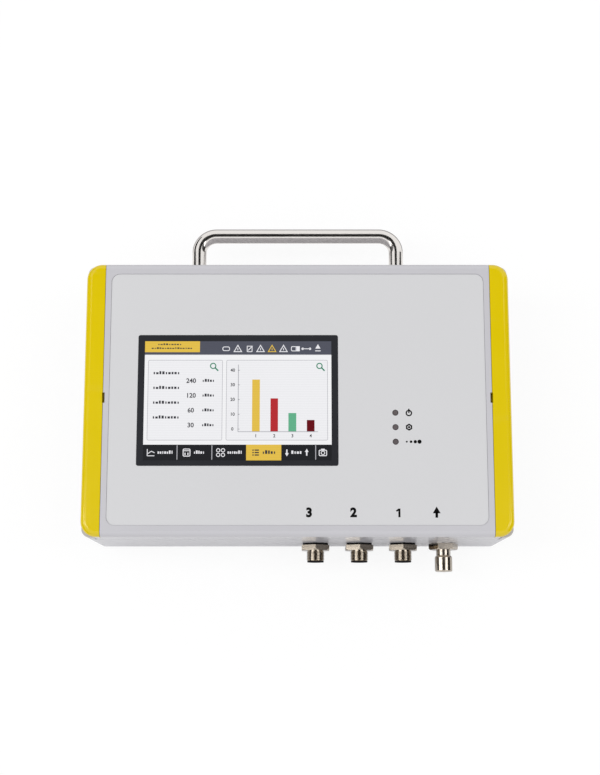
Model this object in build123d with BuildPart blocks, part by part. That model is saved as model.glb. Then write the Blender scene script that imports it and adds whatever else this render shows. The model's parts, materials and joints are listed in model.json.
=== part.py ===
"""Wall and bench particle counter in a moulded housing with two quick-release closure strips.

Frame: origin at the centre of the flat back, X to the right, Y towards the handle, Z out of the front.
All lengths are in millimetres.
"""

from build123d import *
import os

os.makedirs("parts", exist_ok=True)

# ---------------------------------------------------------------- driving dimensions
# Housing
housing_width = 280.0
housing_height = 181.0
housing_depth = 90.0
wall = 3.5
lid_depth = 24.0
base_corner_radius = 5.5
base_inner_radius = 3.5
back_rounding = 1.5
front_rounding = 4.0
front_corner_radius = 10.0
part_gap = 0.5

# Closure strips and their hinges
closure_width = 12.7
closure_wall = 2.2
closure_front_wall = 3.0
closure_rib = 2.5
closure_rib_depth = 10.0
closure_end_depth = 7.5
closure_leg_length = 152.0
side_gap = 0.3
knuckle_radius = 4.0
hinge_pin_radius = 1.25
hinge_clearance = 0.05
hinge_spacing = 100.0
hinge_leaf = 6.0
hinge_barrel = 8.2
leaf_gap = 0.4
notch_clearance = 1.0
hinge_relief = 6.0
rim_depth = 8.0
rim_margin = 1.0
tower_gap = 0.9
tower_top_gap = 1.0
release_slot_width = 1.5
release_slot_length = 6.8
release_slot_depth = 5.0

# Lid and front
lid_plate = 4.0
lid_flange = 3.0
flange_gap = 1.1
border_x = 16.8
border_y = 7.1
recess_radius = 5.5
recess_depth = 0.9
membrane_thickness = 0.5
membrane_gap = 0.15
gasket_width = 1.4
gasket_height = 1.7
gasket_groove_depth = 1.5
gasket_squeeze_gap = 0.25

# Display
display_width = 131.0
display_height = 86.5
display_inset = 35.5
display_y = -1.5
display_corner = 1.5
display_view_width = 123.4
display_view_height = 80.0
window_thickness = 0.65
module_depth = 7.0

# Indicator lights
led_inset = 76.2
led_y = -19.5
led_spacing = 9.55
led_radius = 1.9
led_hole_clearance = 0.1
led_board_drop = 5.0
led_board_width = 12.0
led_board_margin = 8.0

# Circuit boards and their screws
board_thickness = 1.6
screw_radius = 1.25
screw_clearance = 0.35
screw_head_radius = 2.75
screw_head_height = 2.2
boss_radius = 4.0
controller_width = 158.0
controller_height = 116.0
controller_drop = 12.4
board_margin = 5.0
power_board_inset = 18.0
power_board_lead_gap = 10.2
power_board_y = -4.0
power_board_height = 116.0
power_board_level = 12.0
header_width = 14.0
header_depth = 5.0
header_height = 9.0
converter_length = 46.0
converter_width = 26.0
converter_height = 18.0
capacitor_radius = 6.0
capacitor_height = 20.0
chip_size = 16.0
chip_height = 2.0
connector_length = 30.0
connector_width = 6.0

# Handle
handle_radius = 5.0
handle_span = 137.0
handle_reach = 37.0
handle_bend = 12.0
handle_level = 45.0
handle_washer_radius = 8.0
handle_washer = 1.0
handle_screw_radius = 2.5
handle_screw_head_radius = 4.6
handle_screw_head = 3.0
handle_thread_depth = 14.0

# Electrical ports on the lower wall
port_level = 30.0
port_spacing = 29.8
inlet_spacing = 27.6
port_thread_radius = 6.0
port_hole_clearance = 0.1
port_gasket_radius = 8.4
port_gasket = 0.8
port_hex = 18.7
port_hex_height = 3.7
hex_bevel_width = 0.5
hex_bevel_angle = 15.0
port_barrel_length = 7.5
port_bore_radius = 5.0
port_tip_radius = 5.6
port_tip = 0.8
port_cup_radius = 4.2
port_cup_depth = 7.0
port_contact_radius = 0.5
port_contact_offset = 2.9
port_contact_count = 4
port_inside_length = 14.0
port_nut_hex = 17.0
port_nut_height = 4.0
lead_radius = 1.7
lead_bend = 5.0
lead_level = 19.0
lead_spacing = 6.0
first_lead_gap = 45.0

# Air inlet
inlet_inset = 40.6
inlet_washer_radius = 9.7
inlet_washer = 1.0
inlet_hex = 17.4
inlet_hex_height = 3.4
inlet_neck_radius = 4.65
inlet_neck_length = 5.1
inlet_body_radius = 5.9
inlet_body_length = 9.7
inlet_end_rounding = 1.1
inlet_thread_radius = 5.0
inlet_thread_length = 11.5
inlet_nut_hex = 15.0
inlet_nut_height = 3.5
air_bore_radius = 1.3
barb_radius = 2.0
barb_length = 9.0
hose_radius = 3.4
hose_clearance = 0.05

# Optical sensor
block_inset = 18.0
block_wall_gap = 34.0
block_width = 52.0
block_length = 46.0
block_height = 30.0
block_rounding = 3.0
block_screw_margin = 6.0
laser_radius = 8.0
laser_length = 34.0
laser_seat = 6.0
laser_step_radius = 5.5
detector_board_size = 26.0
detector_spacer = 2.0
detector_can_radius = 5.0
detector_can_length = 6.0

# Pump and filter
motor_wall_gap = 4.0
pump_width = 34.0
pump_length = 28.0
pump_height = 28.0
pump_rounding = 4.0
motor_radius = 13.0
motor_length = 25.0
damper_radius = 4.0
damper_height = 6.0
damper_inset = 6.0
filter_hose_length = 22.4
filter_radius = 14.0
filter_length = 44.0
filter_cap = 6.0
clip_width = 8.0
clip_wall = 2.0
clip_clearance = 0.1

# Wall fixing
fixing_inset_x = 20.0
fixing_inset_y = 18.5
fixing_radius = 2.6
fixing_boss_radius = 6.5
fixing_boss_height = 8.0

# ---------------------------------------------------------------- worked out from the sizes above
hex_corner_share = 3 ** -0.5  # corner radius of a hexagon for each unit across its flats
half_width = housing_width / 2
half_height = housing_height / 2
seam_level = housing_depth - lid_depth
closure_inner_x = half_width - closure_width
closure_back_x = half_width - closure_wall
closure_half_leg = closure_leg_length / 2
closure_end_level = housing_depth - closure_end_depth
pivot_x = half_width - knuckle_radius
pivot_level = seam_level + part_gap + knuckle_radius
leaf_bore_radius = hinge_pin_radius + hinge_clearance
barrel_offset = hinge_leaf / 2 + leaf_gap + hinge_barrel / 2
lug_offset = barrel_offset + hinge_barrel / 2 + leaf_gap + hinge_leaf / 2
hinge_stations = (-hinge_spacing / 2, hinge_spacing / 2)
notch_level = pivot_level + knuckle_radius + notch_clearance

lid_bottom = seam_level + part_gap
lid_skirt_x = pivot_x - knuckle_radius - part_gap
lid_front_x = closure_inner_x - side_gap
lid_skirt_inner_x = lid_skirt_x - wall
lid_inner_y = half_height - wall
lid_plate_level = housing_depth - lid_plate
tower_x = lid_skirt_x + tower_gap
tower_top = closure_end_level - tower_top_gap
lid_corner_level = pivot_level + pivot_x - lid_skirt_x
hinge_tower_top = pivot_level + knuckle_radius
tower_start_y = closure_half_leg + side_gap
flange_top = housing_depth - closure_rib_depth - part_gap
flange_bottom = flange_top - lid_flange
flange_x = closure_back_x - flange_gap
rim_x = lid_skirt_inner_x - rim_margin

recess_floor = housing_depth - recess_depth
recess_width = 2 * (half_width - border_x)
recess_height = 2 * (half_height - border_y)

display_x = -half_width + display_inset + display_width / 2
led_x = half_width - led_inset

controller_level = lid_plate_level - controller_drop
port_wall_y = -half_height
port_inner_y = port_wall_y + wall
inlet_x = half_width - inlet_inset
port_a_x = inlet_x - inlet_spacing
port_b_x = port_a_x - port_spacing
port_c_x = port_b_x - port_spacing

block_x = half_width - block_inset - block_width / 2
block_y = port_inner_y + block_wall_gap + block_length / 2
block_bottom = port_level - block_height / 2
pump_y = lid_inner_y - motor_wall_gap - motor_length - pump_length / 2
pump_bottom = port_level - pump_height / 2
filter_x = inlet_x - pump_width / 2 - filter_hose_length - filter_length / 2

power_board_right = port_c_x - power_board_lead_gap
power_board_left = -half_width + power_board_inset
power_board_width = power_board_right - power_board_left
power_board_x = (power_board_right + power_board_left) / 2
first_lead_y = port_inner_y + first_lead_gap
fixing_spacing_x = housing_width - 2 * fixing_inset_x
fixing_spacing_y = housing_height - 2 * fixing_inset_y

# ---------------------------------------------------------------- base shell
with BuildPart() as base_shell:
    with BuildSketch():
        RectangleRounded(housing_width, housing_height, base_corner_radius)
    extrude(amount=seam_level)
    fillet(base_shell.faces().sort_by(Axis.Z)[0].edges(), back_rounding)

    # Corner towers beneath the ends of the closure strips. On the hinge side they end in
    # a knuckle, over which the lid swings.
    for side, top in ((-1, hinge_tower_top), (1, tower_top)):
        with BuildSketch(Plane.XY.offset(seam_level)):
            RectangleRounded(housing_width, housing_height, base_corner_radius)
            with Locations((-side * (housing_width - tower_x), 0)):
                Rectangle(2 * housing_width, 2 * housing_height, mode=Mode.SUBTRACT)
            Rectangle(2 * housing_width, 2 * tower_start_y, mode=Mode.SUBTRACT)
        extrude(amount=top - seam_level)
    with BuildSketch(Plane.XZ):
        with Locations((-pivot_x, pivot_level)):
            Rectangle(4 * knuckle_radius, 2 * knuckle_radius, align=(Align.CENTER, Align.MIN))
            Circle(knuckle_radius, mode=Mode.SUBTRACT)
    extrude(amount=housing_height, both=True, mode=Mode.SUBTRACT)

    # Inside, with a thick rim left along the two closure sides
    with BuildSketch(Plane.XY.offset(wall)):
        RectangleRounded(housing_width - 2 * wall, housing_height - 2 * wall, base_inner_radius)
    extrude(amount=seam_level - rim_depth - wall, mode=Mode.SUBTRACT)
    with BuildSketch(Plane.XY.offset(seam_level - rim_depth)):
        Rectangle(2 * rim_x, housing_height - 2 * wall)
    extrude(amount=rim_depth, mode=Mode.SUBTRACT)

    # Hinge lugs, standing on the rim
    for side in (-1, 1):
        for station in hinge_stations:
            for step in (-lug_offset, lug_offset):
                with BuildSketch(Plane.XZ.offset(-(station + step))):
                    with Locations((side * pivot_x, pivot_level)):
                        Circle(knuckle_radius)
                    with Locations((side * (pivot_x - knuckle_radius / 3), seam_level)):
                        Rectangle(4 * knuckle_radius / 3, 2 * (pivot_level - seam_level))
                    with Locations((side * pivot_x, pivot_level)):
                        Circle(leaf_bore_radius, mode=Mode.SUBTRACT)
                extrude(amount=hinge_leaf / 2, both=True)

        # Slope that lets a closure strip swing right down
        with BuildSketch(Plane.XZ):
            with BuildLine():
                Polyline(
                    (side * half_width, seam_level),
                    (side * (half_width - hinge_relief), seam_level),
                    (side * half_width, seam_level - hinge_relief),
                    close=True,
                )
            make_face()
        extrude(amount=tower_start_y, both=True, mode=Mode.SUBTRACT)

    # Bosses under the boards, the sensor block and the pump
    with BuildSketch(Plane.XY.offset(wall)):
        with Locations((power_board_x, power_board_y)):
            with GridLocations(power_board_width - 2 * board_margin, power_board_height - 2 * board_margin, 2, 2):
                Circle(boss_radius)
    extrude(amount=power_board_level - wall)
    with BuildSketch(Plane.XY.offset(wall)):
        with Locations((block_x, block_y)):
            with GridLocations(block_width - 2 * block_screw_margin, block_length - 2 * block_screw_margin, 2, 2):
                Circle(boss_radius)
    extrude(amount=block_bottom - wall)
    with BuildSketch(Plane.XY.offset(wall)):
        with Locations((inlet_x, pump_y)):
            with GridLocations(pump_width - 2 * damper_inset, pump_length - 2 * damper_inset, 2, 2):
                Circle(boss_radius)
    extrude(amount=pump_bottom - damper_height - wall)
    with Locations((power_board_x, power_board_y, power_board_level)):
        with GridLocations(power_board_width - 2 * board_margin, power_board_height - 2 * board_margin, 2, 2):
            Hole(screw_radius, power_board_level - wall)
    with Locations((block_x, block_y, block_bottom)):
        with GridLocations(block_width - 2 * block_screw_margin, block_length - 2 * block_screw_margin, 2, 2):
            Hole(screw_radius, block_bottom - wall)

    # Wall fixing bosses and holes
    with BuildSketch(Plane.XY.offset(wall)):
        with GridLocations(fixing_spacing_x, fixing_spacing_y, 2, 2):
            Circle(fixing_boss_radius)
    extrude(amount=fixing_boss_height - wall)
    with Locations((0, 0, fixing_boss_height)):
        with GridLocations(fixing_spacing_x, fixing_spacing_y, 2, 2):
            Hole(fixing_radius, fixing_boss_height)

    # Holes for the ports, the inlet and the handle
    with BuildSketch(Plane.XZ.offset(half_height)):
        with Locations((port_a_x, port_level), (port_b_x, port_level), (port_c_x, port_level)):
            Circle(port_thread_radius + port_hole_clearance)
        with Locations((inlet_x, port_level)):
            Circle(inlet_thread_radius + port_hole_clearance)
    extrude(amount=-wall, mode=Mode.SUBTRACT)
    with BuildSketch(Plane.XZ.offset(-half_height)):
        with Locations((-handle_span / 2, handle_level), (handle_span / 2, handle_level)):
            Circle(handle_screw_radius + port_hole_clearance)
    extrude(amount=wall, mode=Mode.SUBTRACT)
base_shell.part.label = "base_shell"
export_step(base_shell.part, "parts/base_shell.step")

# ---------------------------------------------------------------- hinge pins
with BuildPart() as hinge_pins:
    for station in hinge_stations:
        with BuildSketch(Plane.XZ.offset(-station)):
            with Locations((-pivot_x, pivot_level), (pivot_x, pivot_level)):
                Circle(hinge_pin_radius)
        extrude(amount=lug_offset + hinge_leaf / 2, both=True)
hinge_pins.part.label = "hinge_pins"
export_step(hinge_pins.part, "parts/hinge_pins.step")

# ---------------------------------------------------------------- closure strips
for side, name in ((-1, "left_closure"), (1, "right_closure")):
    with BuildPart() as closure:
        # Front leg and end caps, rounded like the front of the lid
        with BuildSketch(Plane.XY.offset(closure_end_level)):
            RectangleRounded(housing_width, housing_height, front_corner_radius)
            with Locations((side * (closure_inner_x - housing_width), 0)):
                Rectangle(2 * housing_width, 2 * housing_height, mode=Mode.SUBTRACT)
        extrude(amount=closure_end_depth)
        front_edges = closure.faces().sort_by(Axis.Z)[-1].edges().sort_by(Axis.X)
        inner_edge = front_edges[0] if side > 0 else front_edges[-1]
        fillet([edge for edge in front_edges if edge != inner_edge], front_rounding)

        # Hollow between the front leg's inner rib and the outer leg
        hollow_low = closure_inner_x + closure_rib
        with BuildSketch(Plane.XY.offset(closure_end_level)):
            with Locations((side * (hollow_low + closure_back_x) / 2, 0)):
                Rectangle(closure_back_x - hollow_low, closure_leg_length - 2 * closure_wall)
        extrude(amount=closure_end_depth - closure_front_wall, mode=Mode.SUBTRACT)

        # Rib that holds the lid's flange down, and the outer leg with its rolled lower edge
        with BuildSketch(Plane.XZ):
            with Locations((side * (closure_inner_x + closure_rib / 2), housing_depth - closure_rib_depth)):
                Rectangle(closure_rib, closure_rib_depth - closure_end_depth, align=(Align.CENTER, Align.MIN))
            with Locations((side * (closure_back_x + closure_wall / 2), pivot_level)):
                Rectangle(closure_wall, closure_end_level - pivot_level, align=(Align.CENTER, Align.MIN))
            with BuildLine():
                roll = -60 * side
                outer = CenterArc((side * pivot_x, pivot_level), knuckle_radius, 90 - 90 * side, roll)
                inner = CenterArc(
                    (side * pivot_x, pivot_level), knuckle_radius - closure_wall, 90 - 90 * side, roll
                )
                Line(outer @ 0, inner @ 0)
                Line(outer @ 1, inner @ 1)
            make_face()
        extrude(amount=closure_half_leg, both=True)

        # Notches for the lid's hooks and the base's lugs
        for station in hinge_stations:
            with BuildSketch(Plane.YZ.offset(side * half_width)):
                with Locations((station, notch_level)):
                    Rectangle(hinge_leaf + 2 * leaf_gap, 3 * knuckle_radius, align=(Align.CENTER, Align.MAX))
                with Locations((station - lug_offset, notch_level), (station + lug_offset, notch_level)):
                    Rectangle(hinge_leaf + 2 * leaf_gap, 3 * knuckle_radius, align=(Align.CENTER, Align.MAX))
            extrude(amount=-side * 2 * knuckle_radius, mode=Mode.SUBTRACT)

            # Barrels on the hinge pin
            for step in (-barrel_offset, barrel_offset):
                with BuildSketch(Plane.XZ.offset(-(station + step))):
                    with Locations((side * pivot_x, pivot_level)):
                        Circle(knuckle_radius)
                        Circle(leaf_bore_radius, mode=Mode.SUBTRACT)
                extrude(amount=hinge_barrel / 2, both=True)

        # Half of the release slot
        with BuildSketch(Plane.XY.offset(housing_depth)):
            with Locations((side * closure_inner_x, 0)):
                Rectangle(release_slot_width / 2, release_slot_length)
        extrude(amount=-release_slot_depth, mode=Mode.SUBTRACT)
    closure.part.label = name
    export_step(closure.part, f"parts/{name}.step")

# ---------------------------------------------------------------- lid frame
with BuildPart() as lid_frame:
    with BuildSketch(Plane.XY.offset(lid_bottom)):
        Rectangle(2 * lid_skirt_x, housing_height)
    extrude(amount=closure_end_level - side_gap - lid_bottom)
    with BuildSketch(Plane.XY.offset(lid_bottom)):
        Rectangle(2 * lid_front_x, housing_height)
    extrude(amount=housing_depth - lid_bottom)
    fillet(lid_frame.faces().sort_by(Axis.Z)[-1].edges().filter_by(Axis.X), front_rounding)

    # Corners on the hinge side, which stand on the base's low towers
    with BuildSketch(Plane.XY.offset(lid_corner_level)):
        RectangleRounded(housing_width, housing_height, base_corner_radius)
        with Locations((housing_width - lid_skirt_x, 0)):
            Rectangle(2 * housing_width, 2 * housing_height, mode=Mode.SUBTRACT)
        Rectangle(2 * housing_width, 2 * tower_start_y, mode=Mode.SUBTRACT)
    extrude(amount=tower_top - lid_corner_level)

    # Flanges beneath the closure strips
    for side in (-1, 1):
        with BuildSketch(Plane.XY.offset(flange_top)):
            with Locations((side * (lid_front_x + housing_width / 2), 0)):
                Rectangle(housing_width, 2 * tower_start_y)
        extrude(amount=housing_depth - flange_top, mode=Mode.SUBTRACT)
        with BuildSketch(Plane.XY.offset(flange_bottom)):
            with Locations((side * (lid_skirt_inner_x + flange_x) / 2, 0)):
                Rectangle(flange_x - lid_skirt_inner_x, 2 * (closure_half_leg - side_gap))
        extrude(amount=lid_flange)

        # Hooks that hang on the hinge pins and lift off the far pair
        for station in hinge_stations:
            with BuildSketch(Plane.XZ.offset(-station)):
                with Locations((side * pivot_x, pivot_level)):
                    Circle(knuckle_radius)
                with Locations((side * (lid_skirt_inner_x + flange_x) / 2, pivot_level)):
                    Rectangle(
                        flange_x - lid_skirt_inner_x,
                        flange_top - pivot_level,
                        align=(Align.CENTER, Align.MIN),
                    )
                with Locations((side * pivot_x, pivot_level)):
                    Circle(leaf_bore_radius, mode=Mode.SUBTRACT)
                    Rectangle(
                        2 * leaf_bore_radius,
                        2 * knuckle_radius,
                        align=(Align.CENTER, Align.MAX),
                        mode=Mode.SUBTRACT,
                    )
            extrude(amount=hinge_leaf / 2, both=True)

    # Inside
    with BuildSketch(Plane.XY.offset(lid_bottom)):
        Rectangle(2 * lid_skirt_inner_x, 2 * lid_inner_y)
    extrude(amount=flange_bottom - lid_bottom, mode=Mode.SUBTRACT)
    with BuildSketch(Plane.XY.offset(flange_bottom)):
        Rectangle(2 * (lid_front_x - wall), 2 * lid_inner_y)
    extrude(amount=lid_plate_level - flange_bottom, mode=Mode.SUBTRACT)

    # Groove for the gasket in the lower rim
    with BuildSketch(Plane.XY.offset(lid_bottom)):
        Rectangle(
            lid_skirt_x + lid_skirt_inner_x + gasket_width + 2 * membrane_gap,
            half_height + lid_inner_y + gasket_width + 2 * membrane_gap,
        )
        Rectangle(
            lid_skirt_x + lid_skirt_inner_x - gasket_width - 2 * membrane_gap,
            half_height + lid_inner_y - gasket_width - 2 * membrane_gap,
            mode=Mode.SUBTRACT,
        )
    extrude(amount=gasket_groove_depth, mode=Mode.SUBTRACT)

    # Recess for the membrane, window opening and light holes
    with BuildSketch(Plane.XY.offset(housing_depth)):
        RectangleRounded(recess_width, recess_height, recess_radius)
    extrude(amount=-recess_depth, mode=Mode.SUBTRACT)
    with BuildSketch(Plane.XY.offset(lid_plate_level)):
        with Locations((display_x, display_y)):
            Rectangle(display_view_width, display_view_height)
        with Locations((led_x, led_y)):
            with GridLocations(1, led_spacing, 1, 3):
                Circle(led_radius + led_hole_clearance)
    extrude(amount=lid_plate, mode=Mode.SUBTRACT)

    # Release slots
    with BuildSketch(Plane.XY.offset(housing_depth)):
        with Locations((-lid_front_x, 0), (lid_front_x, 0)):
            Rectangle(2 * (release_slot_width / 2 + side_gap), release_slot_length)
    extrude(amount=-release_slot_depth, mode=Mode.SUBTRACT)

    # Bosses behind the plate for the controller board and the light board
    with BuildSketch(Plane.XY.offset(controller_level)):
        with Locations((display_x, 0)):
            with GridLocations(controller_width - 2 * board_margin, controller_height - 2 * board_margin, 2, 2):
                Circle(boss_radius)
    extrude(amount=controller_drop)
    with BuildSketch(Plane.XY.offset(lid_plate_level - led_board_drop)):
        with Locations((led_x, led_y)):
            with GridLocations(1, 2 * led_spacing + led_board_margin, 1, 2):
                Circle(boss_radius / 2)
    extrude(amount=led_board_drop)
    with BuildSketch(Plane.XY.offset(controller_level)):
        with Locations((display_x, 0)):
            with GridLocations(controller_width - 2 * board_margin, controller_height - 2 * board_margin, 2, 2):
                Circle(screw_radius)
    extrude(amount=controller_drop - lid_plate / 2, mode=Mode.SUBTRACT)
lid_frame.part.label = "lid_frame"
export_step(lid_frame.part, "parts/lid_frame.step")

# ---------------------------------------------------------------- gasket, membrane and window
with BuildPart() as lid_gasket:
    with BuildSketch(Plane.XY.offset(seam_level + gasket_squeeze_gap)):
        Rectangle(
            lid_skirt_x + lid_skirt_inner_x + gasket_width,
            half_height + lid_inner_y + gasket_width,
        )
        Rectangle(
            lid_skirt_x + lid_skirt_inner_x - gasket_width,
            half_height + lid_inner_y - gasket_width,
            mode=Mode.SUBTRACT,
        )
    extrude(amount=gasket_height)
lid_gasket.part.label = "lid_gasket"
export_step(lid_gasket.part, "parts/lid_gasket.step")

with BuildPart() as front_membrane:
    with BuildSketch(Plane.XY.offset(recess_floor)):
        RectangleRounded(
            recess_width - 2 * membrane_gap, recess_height - 2 * membrane_gap, recess_radius - membrane_gap
        )
        with Locations((display_x, display_y)):
            RectangleRounded(
                display_width + 2 * membrane_gap,
                display_height + 2 * membrane_gap,
                display_corner,
                mode=Mode.SUBTRACT,
            )
        with Locations((led_x, led_y)):
            with GridLocations(1, led_spacing, 1, 3):
                Circle(led_radius + led_hole_clearance, mode=Mode.SUBTRACT)
    extrude(amount=membrane_thickness)
front_membrane.part.label = "front_membrane"
export_step(front_membrane.part, "parts/front_membrane.step")

with BuildPart() as display_window:
    with BuildSketch(Plane.XY.offset(recess_floor)):
        with Locations((display_x, display_y)):
            RectangleRounded(display_width, display_height, display_corner - membrane_gap)
    extrude(amount=window_thickness)
display_window.part.label = "display_window"
export_step(display_window.part, "parts/display_window.step")

# ---------------------------------------------------------------- electronics carried by the lid
with BuildPart() as display_module:
    with BuildSketch(Plane.XY.offset(lid_plate_level - module_depth)):
        with Locations((display_x, display_y)):
            Rectangle(display_width, display_height)
    extrude(amount=module_depth)
    fillet(display_module.edges().filter_by(Axis.Z), display_corner)
    with BuildSketch(Plane.XY.offset(lid_plate_level)):
        with Locations((display_x, display_y)):
            Rectangle(display_view_width, display_view_height)
    extrude(amount=-board_thickness, mode=Mode.SUBTRACT)
display_module.part.label = "display_module"
export_step(display_module.part, "parts/display_module.step")

with BuildPart() as controller_board:
    with BuildSketch(Plane.XY.offset(controller_level - board_thickness)):
        with Locations((display_x, 0)):
            Rectangle(controller_width, controller_height)
            with GridLocations(controller_width - 2 * board_margin, controller_height - 2 * board_margin, 2, 2):
                Circle(screw_radius + screw_clearance, mode=Mode.SUBTRACT)
    extrude(amount=board_thickness)
controller_board.part.label = "controller_board"
export_step(controller_board.part, "parts/controller_board.step")

with BuildPart() as controller_chips:
    with BuildSketch(Plane.XY.offset(controller_level - board_thickness)):
        with Locations((display_x - controller_width / 5, controller_height / 8)):
            Rectangle(chip_size, chip_size)
        with Locations((display_x + controller_width / 8, controller_height / 8)):
            with GridLocations(chip_size, 1, 2, 1):
                Rectangle(chip_size / 2, chip_size * 3 / 4)
        with Locations((display_x, -controller_height / 4)):
            Rectangle(2 * chip_size, chip_size / 3)
    extrude(amount=-chip_height)
controller_chips.part.label = "controller_chips"
export_step(controller_chips.part, "parts/controller_chips.step")

with BuildPart() as display_connector:
    with BuildSketch(Plane.XY.offset(controller_level)):
        with Locations((display_x, display_y)):
            Rectangle(connector_length, connector_width)
    extrude(amount=controller_drop - module_depth)
display_connector.part.label = "display_connector"
export_step(display_connector.part, "parts/display_connector.step")

with BuildPart() as controller_screws:
    with BuildSketch(Plane.XY.offset(controller_level - board_thickness)):
        with Locations((display_x, 0)):
            with GridLocations(controller_width - 2 * board_margin, controller_height - 2 * board_margin, 2, 2):
                Circle(screw_head_radius)
    extrude(amount=-screw_head_height)
    fillet(controller_screws.faces().filter_by(Axis.Z).group_by(Axis.Z)[0].edges(), screw_head_height / 3)
    with BuildSketch(Plane.XY.offset(controller_level - board_thickness)):
        with Locations((display_x, 0)):
            with GridLocations(controller_width - 2 * board_margin, controller_height - 2 * board_margin, 2, 2):
                Circle(screw_radius - hinge_clearance)
    extrude(amount=board_thickness + controller_drop / 2)
controller_screws.part.label = "controller_screws"
export_step(controller_screws.part, "parts/controller_screws.step")

with BuildPart() as led_board:
    with BuildSketch(Plane.XY.offset(lid_plate_level - led_board_drop)):
        with Locations((led_x, led_y)):
            Rectangle(led_board_width, 2 * led_spacing + 2 * led_board_margin)
    extrude(amount=-board_thickness)
led_board.part.label = "led_board"
export_step(led_board.part, "parts/led_board.step")

for row, name in ((1, "power_led"), (0, "service_led"), (-1, "counting_led")):
    with BuildPart() as led:
        with BuildSketch(Plane.XY.offset(lid_plate_level - led_board_drop)):
            with Locations((led_x, led_y + row * led_spacing)):
                Circle(led_radius)
        extrude(amount=led_board_drop + lid_plate - recess_depth + membrane_thickness)
        fillet(led.edges().group_by(Axis.Z)[-1], membrane_thickness / 2)
    led.part.label = name
    export_step(led.part, f"parts/{name}.step")

# ---------------------------------------------------------------- handle
with BuildPart() as handle:
    foot_y = half_height + handle_washer
    with BuildLine() as handle_line:
        FilletPolyline(
            (-handle_span / 2, foot_y, handle_level),
            (-handle_span / 2, half_height + handle_reach - handle_radius, handle_level),
            (handle_span / 2, half_height + handle_reach - handle_radius, handle_level),
            (handle_span / 2, foot_y, handle_level),
            radius=handle_bend,
        )
    with BuildSketch(Plane(origin=(-handle_span / 2, foot_y, handle_level), z_dir=(0, 1, 0))):
        Circle(handle_radius)
    sweep(path=handle_line.wires()[0])
    with BuildSketch(Plane.XZ.offset(-foot_y)):
        with Locations((-handle_span / 2, handle_level), (handle_span / 2, handle_level)):
            Circle(handle_screw_radius + hinge_clearance)
    extrude(amount=-handle_thread_depth, mode=Mode.SUBTRACT)
handle.part.label = "handle"
export_step(handle.part, "parts/handle.step")

with BuildPart() as handle_washers:
    with BuildSketch(Plane.XZ.offset(-half_height)):
        with Locations((-handle_span / 2, handle_level), (handle_span / 2, handle_level)):
            Circle(handle_washer_radius)
            Circle(handle_screw_radius + port_hole_clearance, mode=Mode.SUBTRACT)
    extrude(amount=-handle_washer)
handle_washers.part.label = "handle_washers"
export_step(handle_washers.part, "parts/handle_washers.step")

with BuildPart() as handle_screws:
    with BuildSketch(Plane.XZ.offset(-lid_inner_y)):
        with Locations((-handle_span / 2, handle_level), (handle_span / 2, handle_level)):
            Circle(handle_screw_head_radius)
    extrude(amount=handle_screw_head)
    fillet(handle_screws.faces().group_by(Axis.Y)[0].edges(), handle_screw_head / 3)
    with BuildSketch(Plane.XZ.offset(-lid_inner_y)):
        with Locations((-handle_span / 2, handle_level), (handle_span / 2, handle_level)):
            Circle(handle_screw_radius)
    extrude(amount=-(wall + handle_washer + handle_thread_depth * 3 / 4))
handle_screws.part.label = "handle_screws"
export_step(handle_screws.part, "parts/handle_screws.step")

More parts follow.
